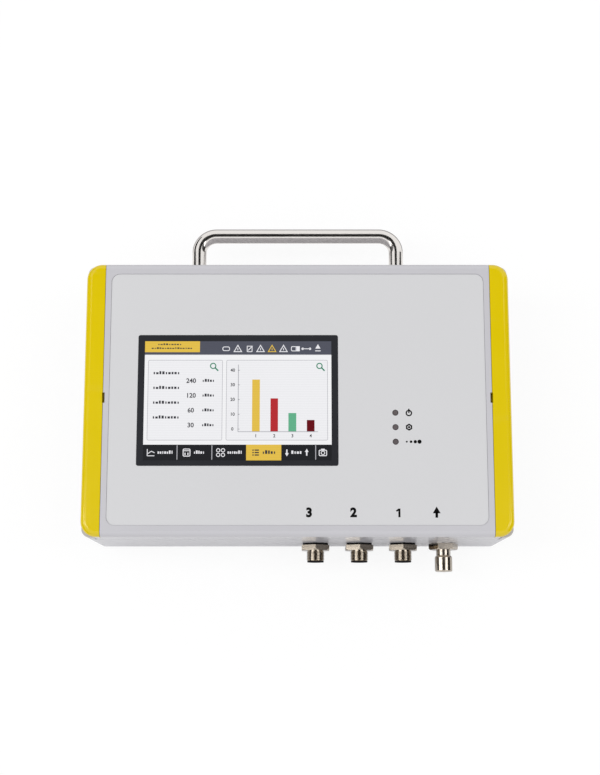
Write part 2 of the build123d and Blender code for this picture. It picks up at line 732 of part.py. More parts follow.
# ---------------------------------------------------------------- electrical ports
barrel_start = port_gasket + port_hex_height
barrel_end = barrel_start + port_barrel_length
ports = (
    ("a", port_a_x, 32),
    ("b", port_b_x, 29),
    ("c", port_c_x, 30),
)
for row, (letter, port_x, turn) in enumerate(ports):
    port_plane = Plane(origin=(port_x, port_wall_y, port_level), x_dir=(1, 0, 0), z_dir=(0, -1, 0))

    # Shell: hexagonal flange with the threaded barrel outside and the mounting thread inside
    with BuildPart() as shell:
        with BuildSketch(port_plane.offset(port_gasket)):
            RegularPolygon(port_hex / 2, 6, major_radius=False, rotation=turn)
        extrude(amount=port_hex_height)
        with BuildSketch(port_plane.offset(port_gasket)):
            Circle(port_hex * hex_corner_share + hex_bevel_width)
        extrude(amount=port_hex_height, taper=hex_bevel_angle, mode=Mode.INTERSECT)
        with BuildSketch(port_plane.offset(-port_inside_length)):
            Circle(port_thread_radius)
        extrude(amount=port_inside_length + barrel_end)
        chamfer(shell.edges().group_by(Axis.Y)[0], port_tip / 2)
        with BuildSketch(port_plane.offset(-port_inside_length)):
            Circle(port_bore_radius)
        extrude(amount=port_inside_length + barrel_end, mode=Mode.SUBTRACT)
    shell.part.label = f"port_{letter}_shell"
    export_step(shell.part, f"parts/port_{letter}_shell.step")

    # Insulator: a cup round the contacts, with a lip over the end of the barrel
    with BuildPart() as insert:
        with BuildSketch(port_plane.offset(-port_inside_length)):
            Circle(port_bore_radius - hinge_clearance)
        extrude(amount=port_inside_length + barrel_end)
        with BuildSketch(port_plane.offset(barrel_end)):
            Circle(port_tip_radius)
        extrude(amount=port_tip)
        with BuildSketch(port_plane.offset(barrel_end + port_tip)):
            Circle(port_cup_radius)
        extrude(amount=-port_cup_depth, mode=Mode.SUBTRACT)
        with BuildSketch(port_plane.offset(-port_inside_length)):
            with PolarLocations(port_contact_offset, port_contact_count, turn):
                Circle(port_contact_radius + hinge_clearance)
        extrude(amount=port_inside_length + barrel_end, mode=Mode.SUBTRACT)
    insert.part.label = f"port_{letter}_insert"
    export_step(insert.part, f"parts/port_{letter}_insert.step")

    with BuildPart() as contacts:
        with BuildSketch(port_plane.offset(-port_inside_length)):
            with PolarLocations(port_contact_offset, port_contact_count, turn):
                Circle(port_contact_radius)
        extrude(amount=port_inside_length + barrel_end - port_tip)
    contacts.part.label = f"port_{letter}_contacts"
    export_step(contacts.part, f"parts/port_{letter}_contacts.step")

    with BuildPart() as port_seal:
        with BuildSketch(port_plane):
            Circle(port_gasket_radius)
            Circle(port_thread_radius + port_hole_clearance, mode=Mode.SUBTRACT)
        extrude(amount=port_gasket)
    port_seal.part.label = f"port_{letter}_gasket"
    export_step(port_seal.part, f"parts/port_{letter}_gasket.step")

    with BuildPart() as port_nut:
        with BuildSketch(port_plane.offset(-wall)):
            RegularPolygon(port_nut_hex / 2, 6, major_radius=False)
            Circle(port_thread_radius + hinge_clearance, mode=Mode.SUBTRACT)
        extrude(amount=-port_nut_height)
    port_nut.part.label = f"port_{letter}_nut"
    export_step(port_nut.part, f"parts/port_{letter}_nut.step")

    # Lead from the back of the port to its header on the power board
    lead_start_y = port_wall_y + port_inside_length
    lead_y = first_lead_y - row * lead_spacing
    header_x = power_board_x + power_board_width / 2 - header_width - header_depth
    with BuildPart() as lead:
        with BuildLine() as lead_line:
            FilletPolyline(
                (port_x, lead_start_y, port_level),
                (port_x, lead_start_y + 2.5 * lead_bend, port_level),
                (port_x - 2 * lead_bend, lead_y, lead_level),
                (header_x, lead_y, lead_level),
                radius=lead_bend,
            )
        with BuildSketch(Plane(origin=(port_x, lead_start_y, port_level), z_dir=(0, 1, 0))):
            Circle(lead_radius)
        sweep(path=lead_line.wires()[0])
    lead.part.label = f"port_{letter}_lead"
    export_step(lead.part, f"parts/port_{letter}_lead.step")

# ---------------------------------------------------------------- power board
board_top = power_board_level + board_thickness
with BuildPart() as power_board:
    with BuildSketch(Plane.XY.offset(power_board_level)):
        with Locations((power_board_x, power_board_y)):
            Rectangle(power_board_width, power_board_height)
            with GridLocations(power_board_width - 2 * board_margin, power_board_height - 2 * board_margin, 2, 2):
                Circle(screw_radius + screw_clearance, mode=Mode.SUBTRACT)
    extrude(amount=board_thickness)
power_board.part.label = "power_board"
export_step(power_board.part, "parts/power_board.step")

with BuildPart() as power_board_screws:
    with BuildSketch(Plane.XY.offset(board_top)):
        with Locations((power_board_x, power_board_y)):
            with GridLocations(power_board_width - 2 * board_margin, power_board_height - 2 * board_margin, 2, 2):
                Circle(screw_head_radius)
    extrude(amount=screw_head_height)
    fillet(power_board_screws.faces().filter_by(Axis.Z).group_by(Axis.Z)[-1].edges(), screw_head_height / 3)
    with BuildSketch(Plane.XY.offset(board_top)):
        with Locations((power_board_x, power_board_y)):
            with GridLocations(power_board_width - 2 * board_margin, power_board_height - 2 * board_margin, 2, 2):
                Circle(screw_radius - hinge_clearance)
    extrude(amount=-(board_top - wall) * 3 / 4)
power_board_screws.part.label = "power_board_screws"
export_step(power_board_screws.part, "parts/power_board_screws.step")

with BuildPart() as lead_headers:
    with BuildSketch(Plane.XY.offset(board_top)):
        with Locations((header_x - header_width / 2, first_lead_y - lead_spacing)):
            with GridLocations(1, lead_spacing, 1, 3):
                Rectangle(header_width, header_depth)
    extrude(amount=header_height)
lead_headers.part.label = "lead_headers"
export_step(lead_headers.part, "parts/lead_headers.step")

with BuildPart() as power_converter:
    with BuildSketch(Plane.XY.offset(board_top)):
        with Locations((power_board_x - power_board_width / 5, power_board_y + power_board_height / 5)):
            RectangleRounded(converter_length, converter_width, board_thickness)
    extrude(amount=converter_height)
    fillet(power_converter.faces().sort_by(Axis.Z)[-1].edges(), board_thickness / 2)
power_converter.part.label = "power_converter"
export_step(power_converter.part, "parts/power_converter.step")

with BuildPart() as capacitors:
    with BuildSketch(Plane.XY.offset(board_top)):
        with Locations((power_board_x - power_board_width / 4, power_board_y - power_board_height / 4)):
            with GridLocations(3 * capacitor_radius, 1, 3, 1):
                Circle(capacitor_radius)
    extrude(amount=capacitor_height)
    fillet(capacitors.faces().filter_by(Axis.Z).group_by(Axis.Z)[-1].edges(), capacitor_radius / 8)
capacitors.part.label = "capacitors"
export_step(capacitors.part, "parts/capacitors.step")

# ---------------------------------------------------------------- air inlet
inlet_plane = Plane(origin=(inlet_x, port_wall_y, port_level), x_dir=(1, 0, 0), z_dir=(0, -1, 0))
inlet_neck_start = inlet_washer + inlet_hex_height
inlet_body_start = inlet_neck_start + inlet_neck_length
inlet_end = inlet_body_start + inlet_body_length
with BuildPart() as inlet_plug:
    with BuildSketch(inlet_plane.offset(inlet_washer)):
        RegularPolygon(inlet_hex / 2, 6, major_radius=False, rotation=-5)
    extrude(amount=inlet_hex_height)
    with BuildSketch(inlet_plane.offset(inlet_washer)):
        Circle(inlet_hex * hex_corner_share + hex_bevel_width)
    extrude(amount=inlet_hex_height, taper=hex_bevel_angle, mode=Mode.INTERSECT)
    with BuildSketch(inlet_plane.offset(inlet_neck_start)):
        Circle(inlet_neck_radius)
    extrude(amount=inlet_neck_length)
    with BuildSketch(inlet_plane.offset(inlet_body_start)):
        Circle(inlet_body_radius)
    extrude(amount=inlet_body_length)
    fillet(inlet_plug.edges().group_by(Axis.Y)[0], inlet_end_rounding)
    chamfer(inlet_plug.faces().filter_by(Axis.Y).sort_by(Axis.Y)[1].outer_wire().edges(), inlet_washer / 2)
    with BuildSketch(inlet_plane.offset(inlet_washer)):
        Circle(inlet_thread_radius)
    extrude(amount=-(inlet_thread_length + inlet_washer))
    with BuildSketch(inlet_plane.offset(-inlet_thread_length)):
        Circle(barb_radius)
    extrude(amount=-barb_length)
    with BuildSketch(inlet_plane.offset(inlet_end)):
        Circle(air_bore_radius)
    extrude(amount=-(inlet_end + inlet_thread_length + barb_length), mode=Mode.SUBTRACT)
inlet_plug.part.label = "inlet_plug"
export_step(inlet_plug.part, "parts/inlet_plug.step")

with BuildPart() as inlet_seal:
    with BuildSketch(inlet_plane):
        Circle(inlet_washer_radius)
        Circle(inlet_thread_radius + port_hole_clearance, mode=Mode.SUBTRACT)
    extrude(amount=inlet_washer)
inlet_seal.part.label = "inlet_washer"
export_step(inlet_seal.part, "parts/inlet_washer.step")

with BuildPart() as inlet_nut:
    with BuildSketch(inlet_plane.offset(-wall)):
        RegularPolygon(inlet_nut_hex / 2, 6, major_radius=False)
        Circle(inlet_thread_radius + hinge_clearance, mode=Mode.SUBTRACT)
    extrude(amount=-inlet_nut_height)
inlet_nut.part.label = "inlet_nut"
export_step(inlet_nut.part, "parts/inlet_nut.step")

# ---------------------------------------------------------------- optical sensor
block_front_y = block_y - block_length / 2
block_rear_y = block_y + block_length / 2
with BuildPart() as sensor_block:
    with BuildSketch(Plane.XY.offset(block_bottom)):
        with Locations((block_x, block_y)):
            RectangleRounded(block_width, block_length, block_rounding)
            with GridLocations(
                block_width - 2 * block_screw_margin, block_length - 2 * block_screw_margin, 2, 2
            ):
                Circle(screw_radius + screw_clearance, mode=Mode.SUBTRACT)
    extrude(amount=block_height)
    chamfer(sensor_block.faces().sort_by(Axis.Z)[-1].outer_wire().edges(), block_rounding / 4)
    with BuildSketch(Plane.XZ.offset(-block_rear_y)):
        with Locations((inlet_x, port_level)):
            Circle(barb_radius)
    extrude(amount=block_length, mode=Mode.SUBTRACT)
    with BuildSketch(Plane.YZ.offset(block_x - block_width / 2)):
        with Locations((block_y, port_level)):
            Circle(laser_step_radius + hinge_clearance)
    extrude(amount=laser_seat, mode=Mode.SUBTRACT)
sensor_block.part.label = "sensor_block"
export_step(sensor_block.part, "parts/sensor_block.step")

with BuildPart() as sensor_screws:
    with BuildSketch(Plane.XY.offset(block_bottom + block_height)):
        with Locations((block_x, block_y)):
            with GridLocations(
                block_width - 2 * block_screw_margin, block_length - 2 * block_screw_margin, 2, 2
            ):
                Circle(screw_head_radius)
    extrude(amount=screw_head_height)
    fillet(sensor_screws.faces().filter_by(Axis.Z).group_by(Axis.Z)[-1].edges(), screw_head_height / 3)
    with BuildSketch(Plane.XY.offset(block_bottom + block_height)):
        with Locations((block_x, block_y)):
            with GridLocations(
                block_width - 2 * block_screw_margin, block_length - 2 * block_screw_margin, 2, 2
            ):
                Circle(screw_radius - hinge_clearance)
    extrude(amount=-(block_height + block_bottom - 2 * wall))
sensor_screws.part.label = "sensor_screws"
export_step(sensor_screws.part, "parts/sensor_screws.step")

with BuildPart() as laser_module:
    with BuildSketch(Plane.YZ.offset(block_x - block_width / 2)):
        with Locations((block_y, port_level)):
            Circle(laser_radius)
    extrude(amount=-laser_length)
    fillet(laser_module.edges().group_by(Axis.X)[0], laser_radius / 8)
    with BuildSketch(Plane.YZ.offset(block_x - block_width / 2)):
        with Locations((block_y, port_level)):
            Circle(laser_step_radius)
    extrude(amount=laser_seat - hinge_clearance)
laser_module.part.label = "laser_module"
export_step(laser_module.part, "parts/laser_module.step")

with BuildPart() as detector:
    with BuildSketch(Plane.YZ.offset(block_x + block_width / 2)):
        with Locations((block_y, port_level)):
            with GridLocations(
                detector_board_size - 2 * detector_spacer, detector_board_size - 2 * detector_spacer, 2, 2
            ):
                Circle(detector_spacer)
    extrude(amount=detector_spacer)
    with BuildSketch(Plane.YZ.offset(block_x + block_width / 2 + detector_spacer)):
        with Locations((block_y, port_level)):
            Rectangle(detector_board_size, detector_board_size)
    extrude(amount=board_thickness)
    with BuildSketch(Plane.YZ.offset(block_x + block_width / 2 + detector_spacer + board_thickness)):
        with Locations((block_y, port_level)):
            Circle(detector_can_radius)
    extrude(amount=detector_can_length)
detector.part.label = "detector"
export_step(detector.part, "parts/detector.step")

# ---------------------------------------------------------------- pump, filter and hoses
pump_front_y = pump_y - pump_length / 2
pump_rear_y = pump_y + pump_length / 2
filter_port_x = filter_x + filter_length / 2
hose_bore_radius = barb_radius + hose_clearance
with BuildPart() as block_nozzles:
    for face_y, outward in ((block_front_y, -1), (block_rear_y, 1)):
        with BuildSketch(Plane.XZ.offset(-(face_y - outward * laser_seat))):
            with Locations((inlet_x, port_level)):
                Circle(barb_radius - hose_clearance)
                Circle(air_bore_radius, mode=Mode.SUBTRACT)
        extrude(amount=-outward * (laser_seat + barb_length))
block_nozzles.part.label = "block_nozzles"
export_step(block_nozzles.part, "parts/block_nozzles.step")

with BuildPart() as pump_head:
    with BuildSketch(Plane.XY.offset(pump_bottom)):
        with Locations((inlet_x, pump_y)):
            RectangleRounded(pump_width, pump_length, pump_rounding)
    extrude(amount=pump_height)
    chamfer(pump_head.faces().sort_by(Axis.Z)[-1].edges(), pump_rounding / 4)
    with BuildSketch(Plane.XZ.offset(-pump_front_y)):
        with Locations((inlet_x, port_level)):
            Circle(barb_radius)
            Circle(air_bore_radius, mode=Mode.SUBTRACT)
    extrude(amount=barb_length)
    with BuildSketch(Plane.YZ.offset(inlet_x - pump_width / 2)):
        with Locations((pump_y, port_level)):
            Circle(barb_radius)
            Circle(air_bore_radius, mode=Mode.SUBTRACT)
    extrude(amount=-barb_length)
pump_head.part.label = "pump_head"
export_step(pump_head.part, "parts/pump_head.step")

with BuildPart() as pump_motor:
    with BuildSketch(Plane.XZ.offset(-pump_rear_y)):
        with Locations((inlet_x, port_level)):
            Circle(motor_radius)
    extrude(amount=-motor_length)
    fillet(pump_motor.edges().group_by(Axis.Y)[-1], motor_radius / 8)
pump_motor.part.label = "pump_motor"
export_step(pump_motor.part, "parts/pump_motor.step")

with BuildPart() as pump_dampers:
    with BuildSketch(Plane.XY.offset(pump_bottom - damper_height)):
        with Locations((inlet_x, pump_y)):
            with GridLocations(pump_width - 2 * damper_inset, pump_length - 2 * damper_inset, 2, 2):
                Circle(damper_radius)
    extrude(amount=damper_height)
pump_dampers.part.label = "pump_dampers"
export_step(pump_dampers.part, "parts/pump_dampers.step")

with BuildPart() as air_filter:
    with BuildSketch(Plane.YZ.offset(filter_x)):
        with Locations((pump_y, port_level)):
            Circle(filter_radius)
    extrude(amount=filter_length / 2 - filter_cap, both=True)
    for outward in (-1, 1):
        with BuildSketch(Plane.YZ.offset(filter_x + outward * (filter_length / 2 - filter_cap))):
            with Locations((pump_y, port_level)):
                Circle(filter_radius)
        extrude(amount=outward * filter_cap, taper=35)
        with BuildSketch(Plane.YZ.offset(filter_x + outward * filter_length / 2)):
            with Locations((pump_y, port_level)):
                Circle(barb_radius)
                Circle(air_bore_radius, mode=Mode.SUBTRACT)
        extrude(amount=outward * barb_length)
air_filter.part.label = "air_filter"
export_step(air_filter.part, "parts/air_filter.step")

with BuildPart() as filter_clips:
    for outward in (-1, 1):
        with BuildSketch(Plane.YZ.offset(filter_x + outward * filter_length / 4)):
            with Locations((pump_y, port_level)):
                Circle(filter_radius + clip_clearance + clip_wall)
            with Locations((pump_y, wall)):
                Rectangle(filter_radius, port_level - wall, align=(Align.CENTER, Align.MIN))
            with Locations((pump_y, port_level)):
                Circle(filter_radius + clip_clearance, mode=Mode.SUBTRACT)
            with Locations((pump_y, port_level + filter_radius / 3)):
                Rectangle(3 * filter_radius, 3 * filter_radius, align=(Align.CENTER, Align.MIN), mode=Mode.SUBTRACT)
        extrude(amount=clip_width / 2, both=True)
filter_clips.part.label = "filter_clips"
export_step(filter_clips.part, "parts/filter_clips.step")

inlet_barb_y = port_wall_y + inlet_thread_length + barb_length
hose_spans = (
    ("inlet_hose", inlet_barb_y - barb_length, block_front_y),
    ("pump_hose", block_rear_y, pump_front_y),
)
for name, start_y, end_y in hose_spans:
    with BuildPart() as hose:
        with BuildSketch(Plane.XZ.offset(-start_y)):
            with Locations((inlet_x, port_level)):
                Circle(hose_radius)
                Circle(hose_bore_radius, mode=Mode.SUBTRACT)
        extrude(amount=-(end_y - start_y))
    hose.part.label = name
    export_step(hose.part, f"parts/{name}.step")

with BuildPart() as filter_hose:
    with BuildSketch(Plane.YZ.offset(filter_port_x)):
        with Locations((pump_y, port_level)):
            Circle(hose_radius)
            Circle(hose_bore_radius, mode=Mode.SUBTRACT)
    extrude(amount=inlet_x - pump_width / 2 - filter_port_x)
filter_hose.part.label = "filter_hose"
export_step(filter_hose.part, "parts/filter_hose.step")
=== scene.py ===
"""Looks for an airborne particle counter that lies on its back, built round its packed assembly."""

import json
import logging
import math
from contextlib import contextmanager
from dataclasses import dataclass, field
from enum import Enum
from functools import cached_property
from typing import Any, Iterator, Mapping, Sequence

import bpy
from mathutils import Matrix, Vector


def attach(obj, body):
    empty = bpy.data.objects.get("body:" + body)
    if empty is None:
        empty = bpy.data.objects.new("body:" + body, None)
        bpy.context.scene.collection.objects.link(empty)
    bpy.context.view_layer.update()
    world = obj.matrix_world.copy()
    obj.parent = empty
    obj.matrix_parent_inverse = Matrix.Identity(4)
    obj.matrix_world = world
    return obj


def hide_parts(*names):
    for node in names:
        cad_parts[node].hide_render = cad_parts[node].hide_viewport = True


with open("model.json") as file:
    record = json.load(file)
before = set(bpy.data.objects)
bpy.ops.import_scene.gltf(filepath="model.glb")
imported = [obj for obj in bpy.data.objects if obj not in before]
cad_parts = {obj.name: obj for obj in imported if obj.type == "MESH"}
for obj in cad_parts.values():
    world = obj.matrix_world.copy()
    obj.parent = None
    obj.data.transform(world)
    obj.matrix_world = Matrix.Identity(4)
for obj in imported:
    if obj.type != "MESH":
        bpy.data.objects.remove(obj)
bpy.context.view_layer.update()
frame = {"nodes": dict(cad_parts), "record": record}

MM = 0.001
QUARTER = math.radians(90)
SMOOTH_ANGLE = math.radians(30)
MERGE_DISTANCE = 1e-6
ROUND = 48
FINE_ROUND = 72
BLANK_MARGIN = 0.1
FIGURE_SHARE = 0.7
WHITE = (1, 1, 1, 1)
log = logging.getLogger("particle_counter")

Colour = tuple[float, float, float]
Point = tuple[float, float]
Place = tuple[float, float, float]
Box = tuple[float, float, float, float]


def tone(red: int, green: int, blue: int) -> Colour:
    """Turns three display values into a linear colour.

    Args:
        red: From 0 to 255.
        green: From 0 to 255.
        blue: From 0 to 255.

    Returns:
        The linear colour.
    """
    return tuple(
        c / 12.92 if c <= 0.04045 else ((c + 0.055) / 1.055) ** 2.4
        for c in (red / 255, green / 255, blue / 255)
    )


# ------------------------------------------------------------------ shader graph
class Signal:
    """A number on a shader socket, whose arithmetic adds Math nodes."""

    def __init__(self, graph: "Graph", socket: bpy.types.NodeSocket) -> None:
        """Wraps one output socket of a graph."""
        self.graph = graph
        self.socket = socket

    def _join(self, operation: str, left: "Signal | float", right: "Signal | float") -> "Signal":
        """Adds one Math node on two values."""
        node = self.graph.add("ShaderNodeMath", {"operation": operation}, {0: left, 1: right})
        return Signal(self.graph, node.outputs[0])

    def __add__(self, other: "Signal | float") -> "Signal":
        """Sum."""
        return self._join("ADD", self, other)

    def __radd__(self, other: float) -> "Signal":
        """Sum with the number on the left."""
        return self._join("ADD", other, self)

    def __sub__(self, other: "Signal | float") -> "Signal":
        """Difference."""
        return self._join("SUBTRACT", self, other)

    def __rsub__(self, other: float) -> "Signal":
        """Difference with the number on the left."""
        return self._join("SUBTRACT", other, self)

    def __mul__(self, other: "Signal | float") -> "Signal":
        """Product."""
        return self._join("MULTIPLY", self, other)

    def __rmul__(self, other: float) -> "Signal":
        """Product with the number on the left."""
        return self._join("MULTIPLY", other, self)

    def above(self, level: float) -> "Signal":
        """1 where the value is above a level, and 0 elsewhere."""
        return self._join("GREATER_THAN", self, level)

    def at_most(self, other: "Signal | float") -> "Signal":
        """The smaller of two values."""
        return self._join("MINIMUM", self, other)


class Graph:
    """The node tree of a material or of the world, to which every node is added by one method."""

    def __init__(
        self,
        owner: bpy.types.Material | bpy.types.World,
        output: str = "ShaderNodeOutputMaterial",
    ) -> None:
        """Starts an empty tree.

        Args:
            owner: The material or the world.
            output: The type of its output node.
        """
        owner.use_nodes = True
        self.tree = owner.node_tree
        self.tree.nodes.clear()
        self.output = self.add(output)

    @cached_property
    def coordinates(self) -> bpy.types.NodeSocket:
        """Object coordinates."""
        return self.add("ShaderNodeTexCoord").outputs["Object"]

    def add(
        self,
        kind: str,
        settings: Mapping[str, Any] | None = None,
        inputs: Mapping[str | int, Any] | None = None,
    ) -> bpy.types.Node:
        """Adds a node, sets it up and feeds its sockets.

        Args:
            kind: The node's type.
            settings: Its own settings.
            inputs: A value, socket or Signal for each socket that isn't left as it is.

        Returns:
            The new node.
        """
        node = self.tree.nodes.new(kind)
        for key, value in (settings or {}).items():
            setattr(node, key, value)
        for key, value in (inputs or {}).items():
            if isinstance(value, Signal):
                value = value.socket
            if isinstance(value, bpy.types.NodeSocket):
                self.tree.links.new(value, node.inputs[key])
            else:
                node.inputs[key].default_value = value
        return node

    def mapped(self, scale: Place, turn: Place = (0, 0, 0)) -> bpy.types.NodeSocket:
        """Object coordinates that are stretched and turned."""
        inputs = {"Vector": self.coordinates, "Rotation": turn, "Scale": scale}
        return self.add("ShaderNodeMapping", None, inputs).outputs[0]

    def noise(
        self,
        scale: float,
        detail: float,
        vector: bpy.types.NodeSocket | None = None,
    ) -> Signal:
        """A smooth random field from 0 to 1.

        Args:
            scale: Spots to the metre.
            detail: Octaves of finer spots.
            vector: The place it is read at, or None for Object coordinates.

        Returns:
            The field.
        """
        inputs = {"Vector": vector or self.coordinates, "Scale": scale, "Detail": detail}
        return Signal(self, self.add("ShaderNodeTexNoise", None, inputs).outputs[0])

    def cells(self, scale: float, distance: str = "EUCLIDEAN") -> Signal:
        """Distance from the middle of a random cell.

        Args:
            scale: Cells to the metre.
            distance: How distance is measured, which gives round or square cells.

        Returns:
            The distance, as a share of a cell.
        """
        settings = {"feature": "F1", "distance": distance}
        inputs = {"Vector": self.coordinates, "Scale": scale}
        node = self.add("ShaderNodeTexVoronoi", settings, inputs)
        return Signal(self, node.outputs["Distance"])

    def blend(self, factor: Signal | float, first: Any, second: Any) -> bpy.types.NodeSocket:
        """Mixes two colours.

        Args:
            factor: 0 for the first and 1 for the second.
            first: A colour or a colour socket.
            second: A colour or a colour socket.

        Returns:
            The mixed colour's socket.
        """
        first, second = ((*c, 1) if isinstance(c, tuple) else c for c in (first, second))
        settings = {"data_type": "RGBA", "clamp_factor": True}
        return self.add("ShaderNodeMix", settings, {0: factor, 6: first, 7: second}).outputs[2]

    def relief(self, height: Signal, depth: float, strength: float = 1.0) -> bpy.types.NodeSocket:
        """A bumped normal.

        Args:
            height: The relief, from 0 to 1.
            depth: How deep it is, in metres.
            strength: How much of it shows.

        Returns:
            The normal's socket.
        """
        inputs = {"Strength": strength, "Distance": depth, "Height": height}
        return self.add("ShaderNodeBump", None, inputs).outputs[0]

    def surface(self, **inputs: Any) -> None:
        """Adds the main shader and joins it to the output.

        Args:
            **inputs: The shader's sockets, with _ for a space.
        """
        values = {
            key.replace("_", " "): (*v, 1) if isinstance(v, tuple) else v
            for key, v in inputs.items()
        }
        shader = self.add("ShaderNodeBsdfPrincipled", None, values)
        self.tree.links.new(shader.outputs[0], self.output.inputs[0])

    def either(self, factor: Signal, first: bpy.types.Node, second: bpy.types.Node) -> None:
        """Mixes two shaders and joins them to the output.

        Args:
            factor: 0 for the first and 1 for the second.
            first: A shader node.
            second: A shader node.
        """
        inputs = {0: factor, 1: first.outputs[0], 2: second.outputs[0]}
        mix = self.add("ShaderNodeMixShader", None, inputs)
        self.tree.links.new(mix.outputs[0], self.output.inputs[0])


# ------------------------------------------------------------------ finishes
@dataclass(frozen=True)
class Finish:
    """A colour with a look of its own, which each kind of finish paints."""

    colour: Colour

    def material(self, name: str) -> bpy.types.Material:
        """Builds the finish.

        Args:
            name: The material's name.

        Returns:
            The material.
        """
        material = bpy.data.materials.new(name)
        self.paint(Graph(material))
        return material

    def paint(self, g: Graph) -> None:
        """Adds the nodes of the look, which each kind of finish has."""
        raise NotImplementedError

    def shade(self, share: float, lift: float = 0.0) -> Colour:
        """The colour times a share, lifted by a little."""
        return tuple(min(c * share + lift, 1.0) for c in self.colour)


@dataclass(frozen=True)
class Moulded(Finish):
    """A moulded or painted plastic: a fine grain, faint cloudiness and handling marks."""

    roughness: float
    grain: float
    grain_depth: float
    cloud: float
    gloss: float = 0.5
    cloud_scale: float = 28.0
    scuff_scale: float = 9.0
    scuff_stretch: Place = (1, 14, 6)
    scuff_turn: Place = (0.3, 0.2, 0.6)
    scuff_level: float = 0.66
    cloud_mark: float = 0.1
    scuff_mark: float = 0.05
    grain_mark: float = 0.06

    def paint(self, g: Graph) -> None:
        """Adds the nodes of the look.

        Args:
            g: The material's tree.
        """
        cloud = g.noise(self.cloud_scale, detail=4)
        grain = g.noise(self.grain, detail=2)
        run = g.mapped(self.scuff_stretch, self.scuff_turn)
        scuffs = g.noise(self.scuff_scale, detail=6, vector=run)
        marks = scuffs.above(self.scuff_level) * self.scuff_mark + (grain - 0.5) * self.grain_mark
        g.surface(
            Base_Color=g.blend(cloud, self.shade(1 - 2 * self.cloud), self.shade(1 + self.cloud)),
            Roughness=self.roughness + (cloud - 0.5) * self.cloud_mark + marks,
            Normal=g.relief(grain, self.grain_depth),
            Specular_IOR_Level=self.gloss,
        )


@dataclass(frozen=True)
class Metal(Finish):
    """A turned, brushed or cast metal, with marks along one direction."""

    roughness: float
    brush: Place
    brush_depth: float = 0.000006
    tarnish: float = 0.15
    streak: float = 0.22
    cloud_scale: float = 55.0
    cloud_share: float = 0.6
    cloud_mark: float = 0.08

    def paint(self, g: Graph) -> None:
        """Adds the nodes of the look.

        Args:
            g: The material's tree.
        """
        marks = g.noise(1.0, detail=3, vector=g.mapped(self.brush))
        cloud = g.noise(self.cloud_scale, detail=4)
        shine = cloud * self.cloud_share + marks * (1 - self.cloud_share)
        wear = (marks - 0.5) * self.streak + (cloud - 0.5) * self.cloud_mark
        g.surface(
            Base_Color=g.blend(shine, self.shade(1 - self.tarnish), self.colour),
            Metallic=1.0,
            Roughness=self.roughness + wear,
            Normal=g.relief(marks, self.brush_depth),
        )


@dataclass(frozen=True)
class Rubber(Finish):
    """A matt rubber or foam, with pores."""

    pores: float = 1500.0
    pore_depth: float = 0.00003
    pore_strength: float = 0.7
    dust_scale: float = 140.0
    dust_share: float = 0.7
    dust_tint: Point = (1.5, 0.003)
    roughness: float = 0.72
    dust_mark: float = 0.2
    gloss: float = 0.15

    def paint(self, g: Graph) -> None:
        """Adds the nodes of the look.

        Args:
            g: The material's tree.
        """
        pore = g.cells(self.pores)
        dust = g.noise(self.dust_scale, detail=5)
        g.surface(
            Base_Color=g.blend(dust * self.dust_share, self.colour, self.shade(*self.dust_tint)),
            Roughness=self.roughness + dust * self.dust_mark,
            Normal=g.relief(pore, self.pore_depth, self.pore_strength),
            Specular_IOR_Level=self.gloss,
        )


@dataclass(frozen=True)
class Film(Finish):
    """A printed front film: a fine embossed texture under even ink."""

    roughness: float = 0.42
    emboss: float = 3800.0
    emboss_depth: float = 0.000008
    emboss_mark: float = 0.12
    ink_scale: float = 12.0
    ink_tint: float = 0.975
    ink_mark: float = 0.05
    gloss: float = 0.2

    def paint(self, g: Graph) -> None:
        """Adds the nodes of the look.

        Args:
            g: The material's tree.
        """
        emboss = g.noise(self.emboss, detail=1)
        ink = g.noise(self.ink_scale, detail=3)
        marks = (emboss - 0.5) * self.emboss_mark + (ink - 0.5) * self.ink_mark
        g.surface(
            Base_Color=g.blend(ink, self.shade(self.ink_tint), self.colour),
            Roughness=self.roughness + marks,
            Normal=g.relief(emboss, self.emboss_depth),
            Specular_IOR_Level=self.gloss,
        )


@dataclass(frozen=True)
class Glass(Finish):
    """A black-backed screen window: smooth glass with faint smears."""

    roughness: float = 0.06
    smear_scale: float = 34.0
    smear_stretch: Place = (1, 0.35, 1)
    smear_turn: Place = (0, 0, 0.7)
    smear_tint: float = 1.35
    smear_mark: float = 0.14
    gloss: float = 0.3

    def paint(self, g: Graph) -> None:
        """Adds the nodes of the look.

        Args:
            g: The material's tree.
        """
        run = g.mapped(self.smear_stretch, self.smear_turn)
        smear = g.noise(self.smear_scale, detail=5, vector=run)
        g.surface(
            Base_Color=g.blend(smear, self.colour, self.shade(self.smear_tint)),
            Roughness=self.roughness + smear * self.smear_mark,
            Specular_IOR_Level=self.gloss,
        )


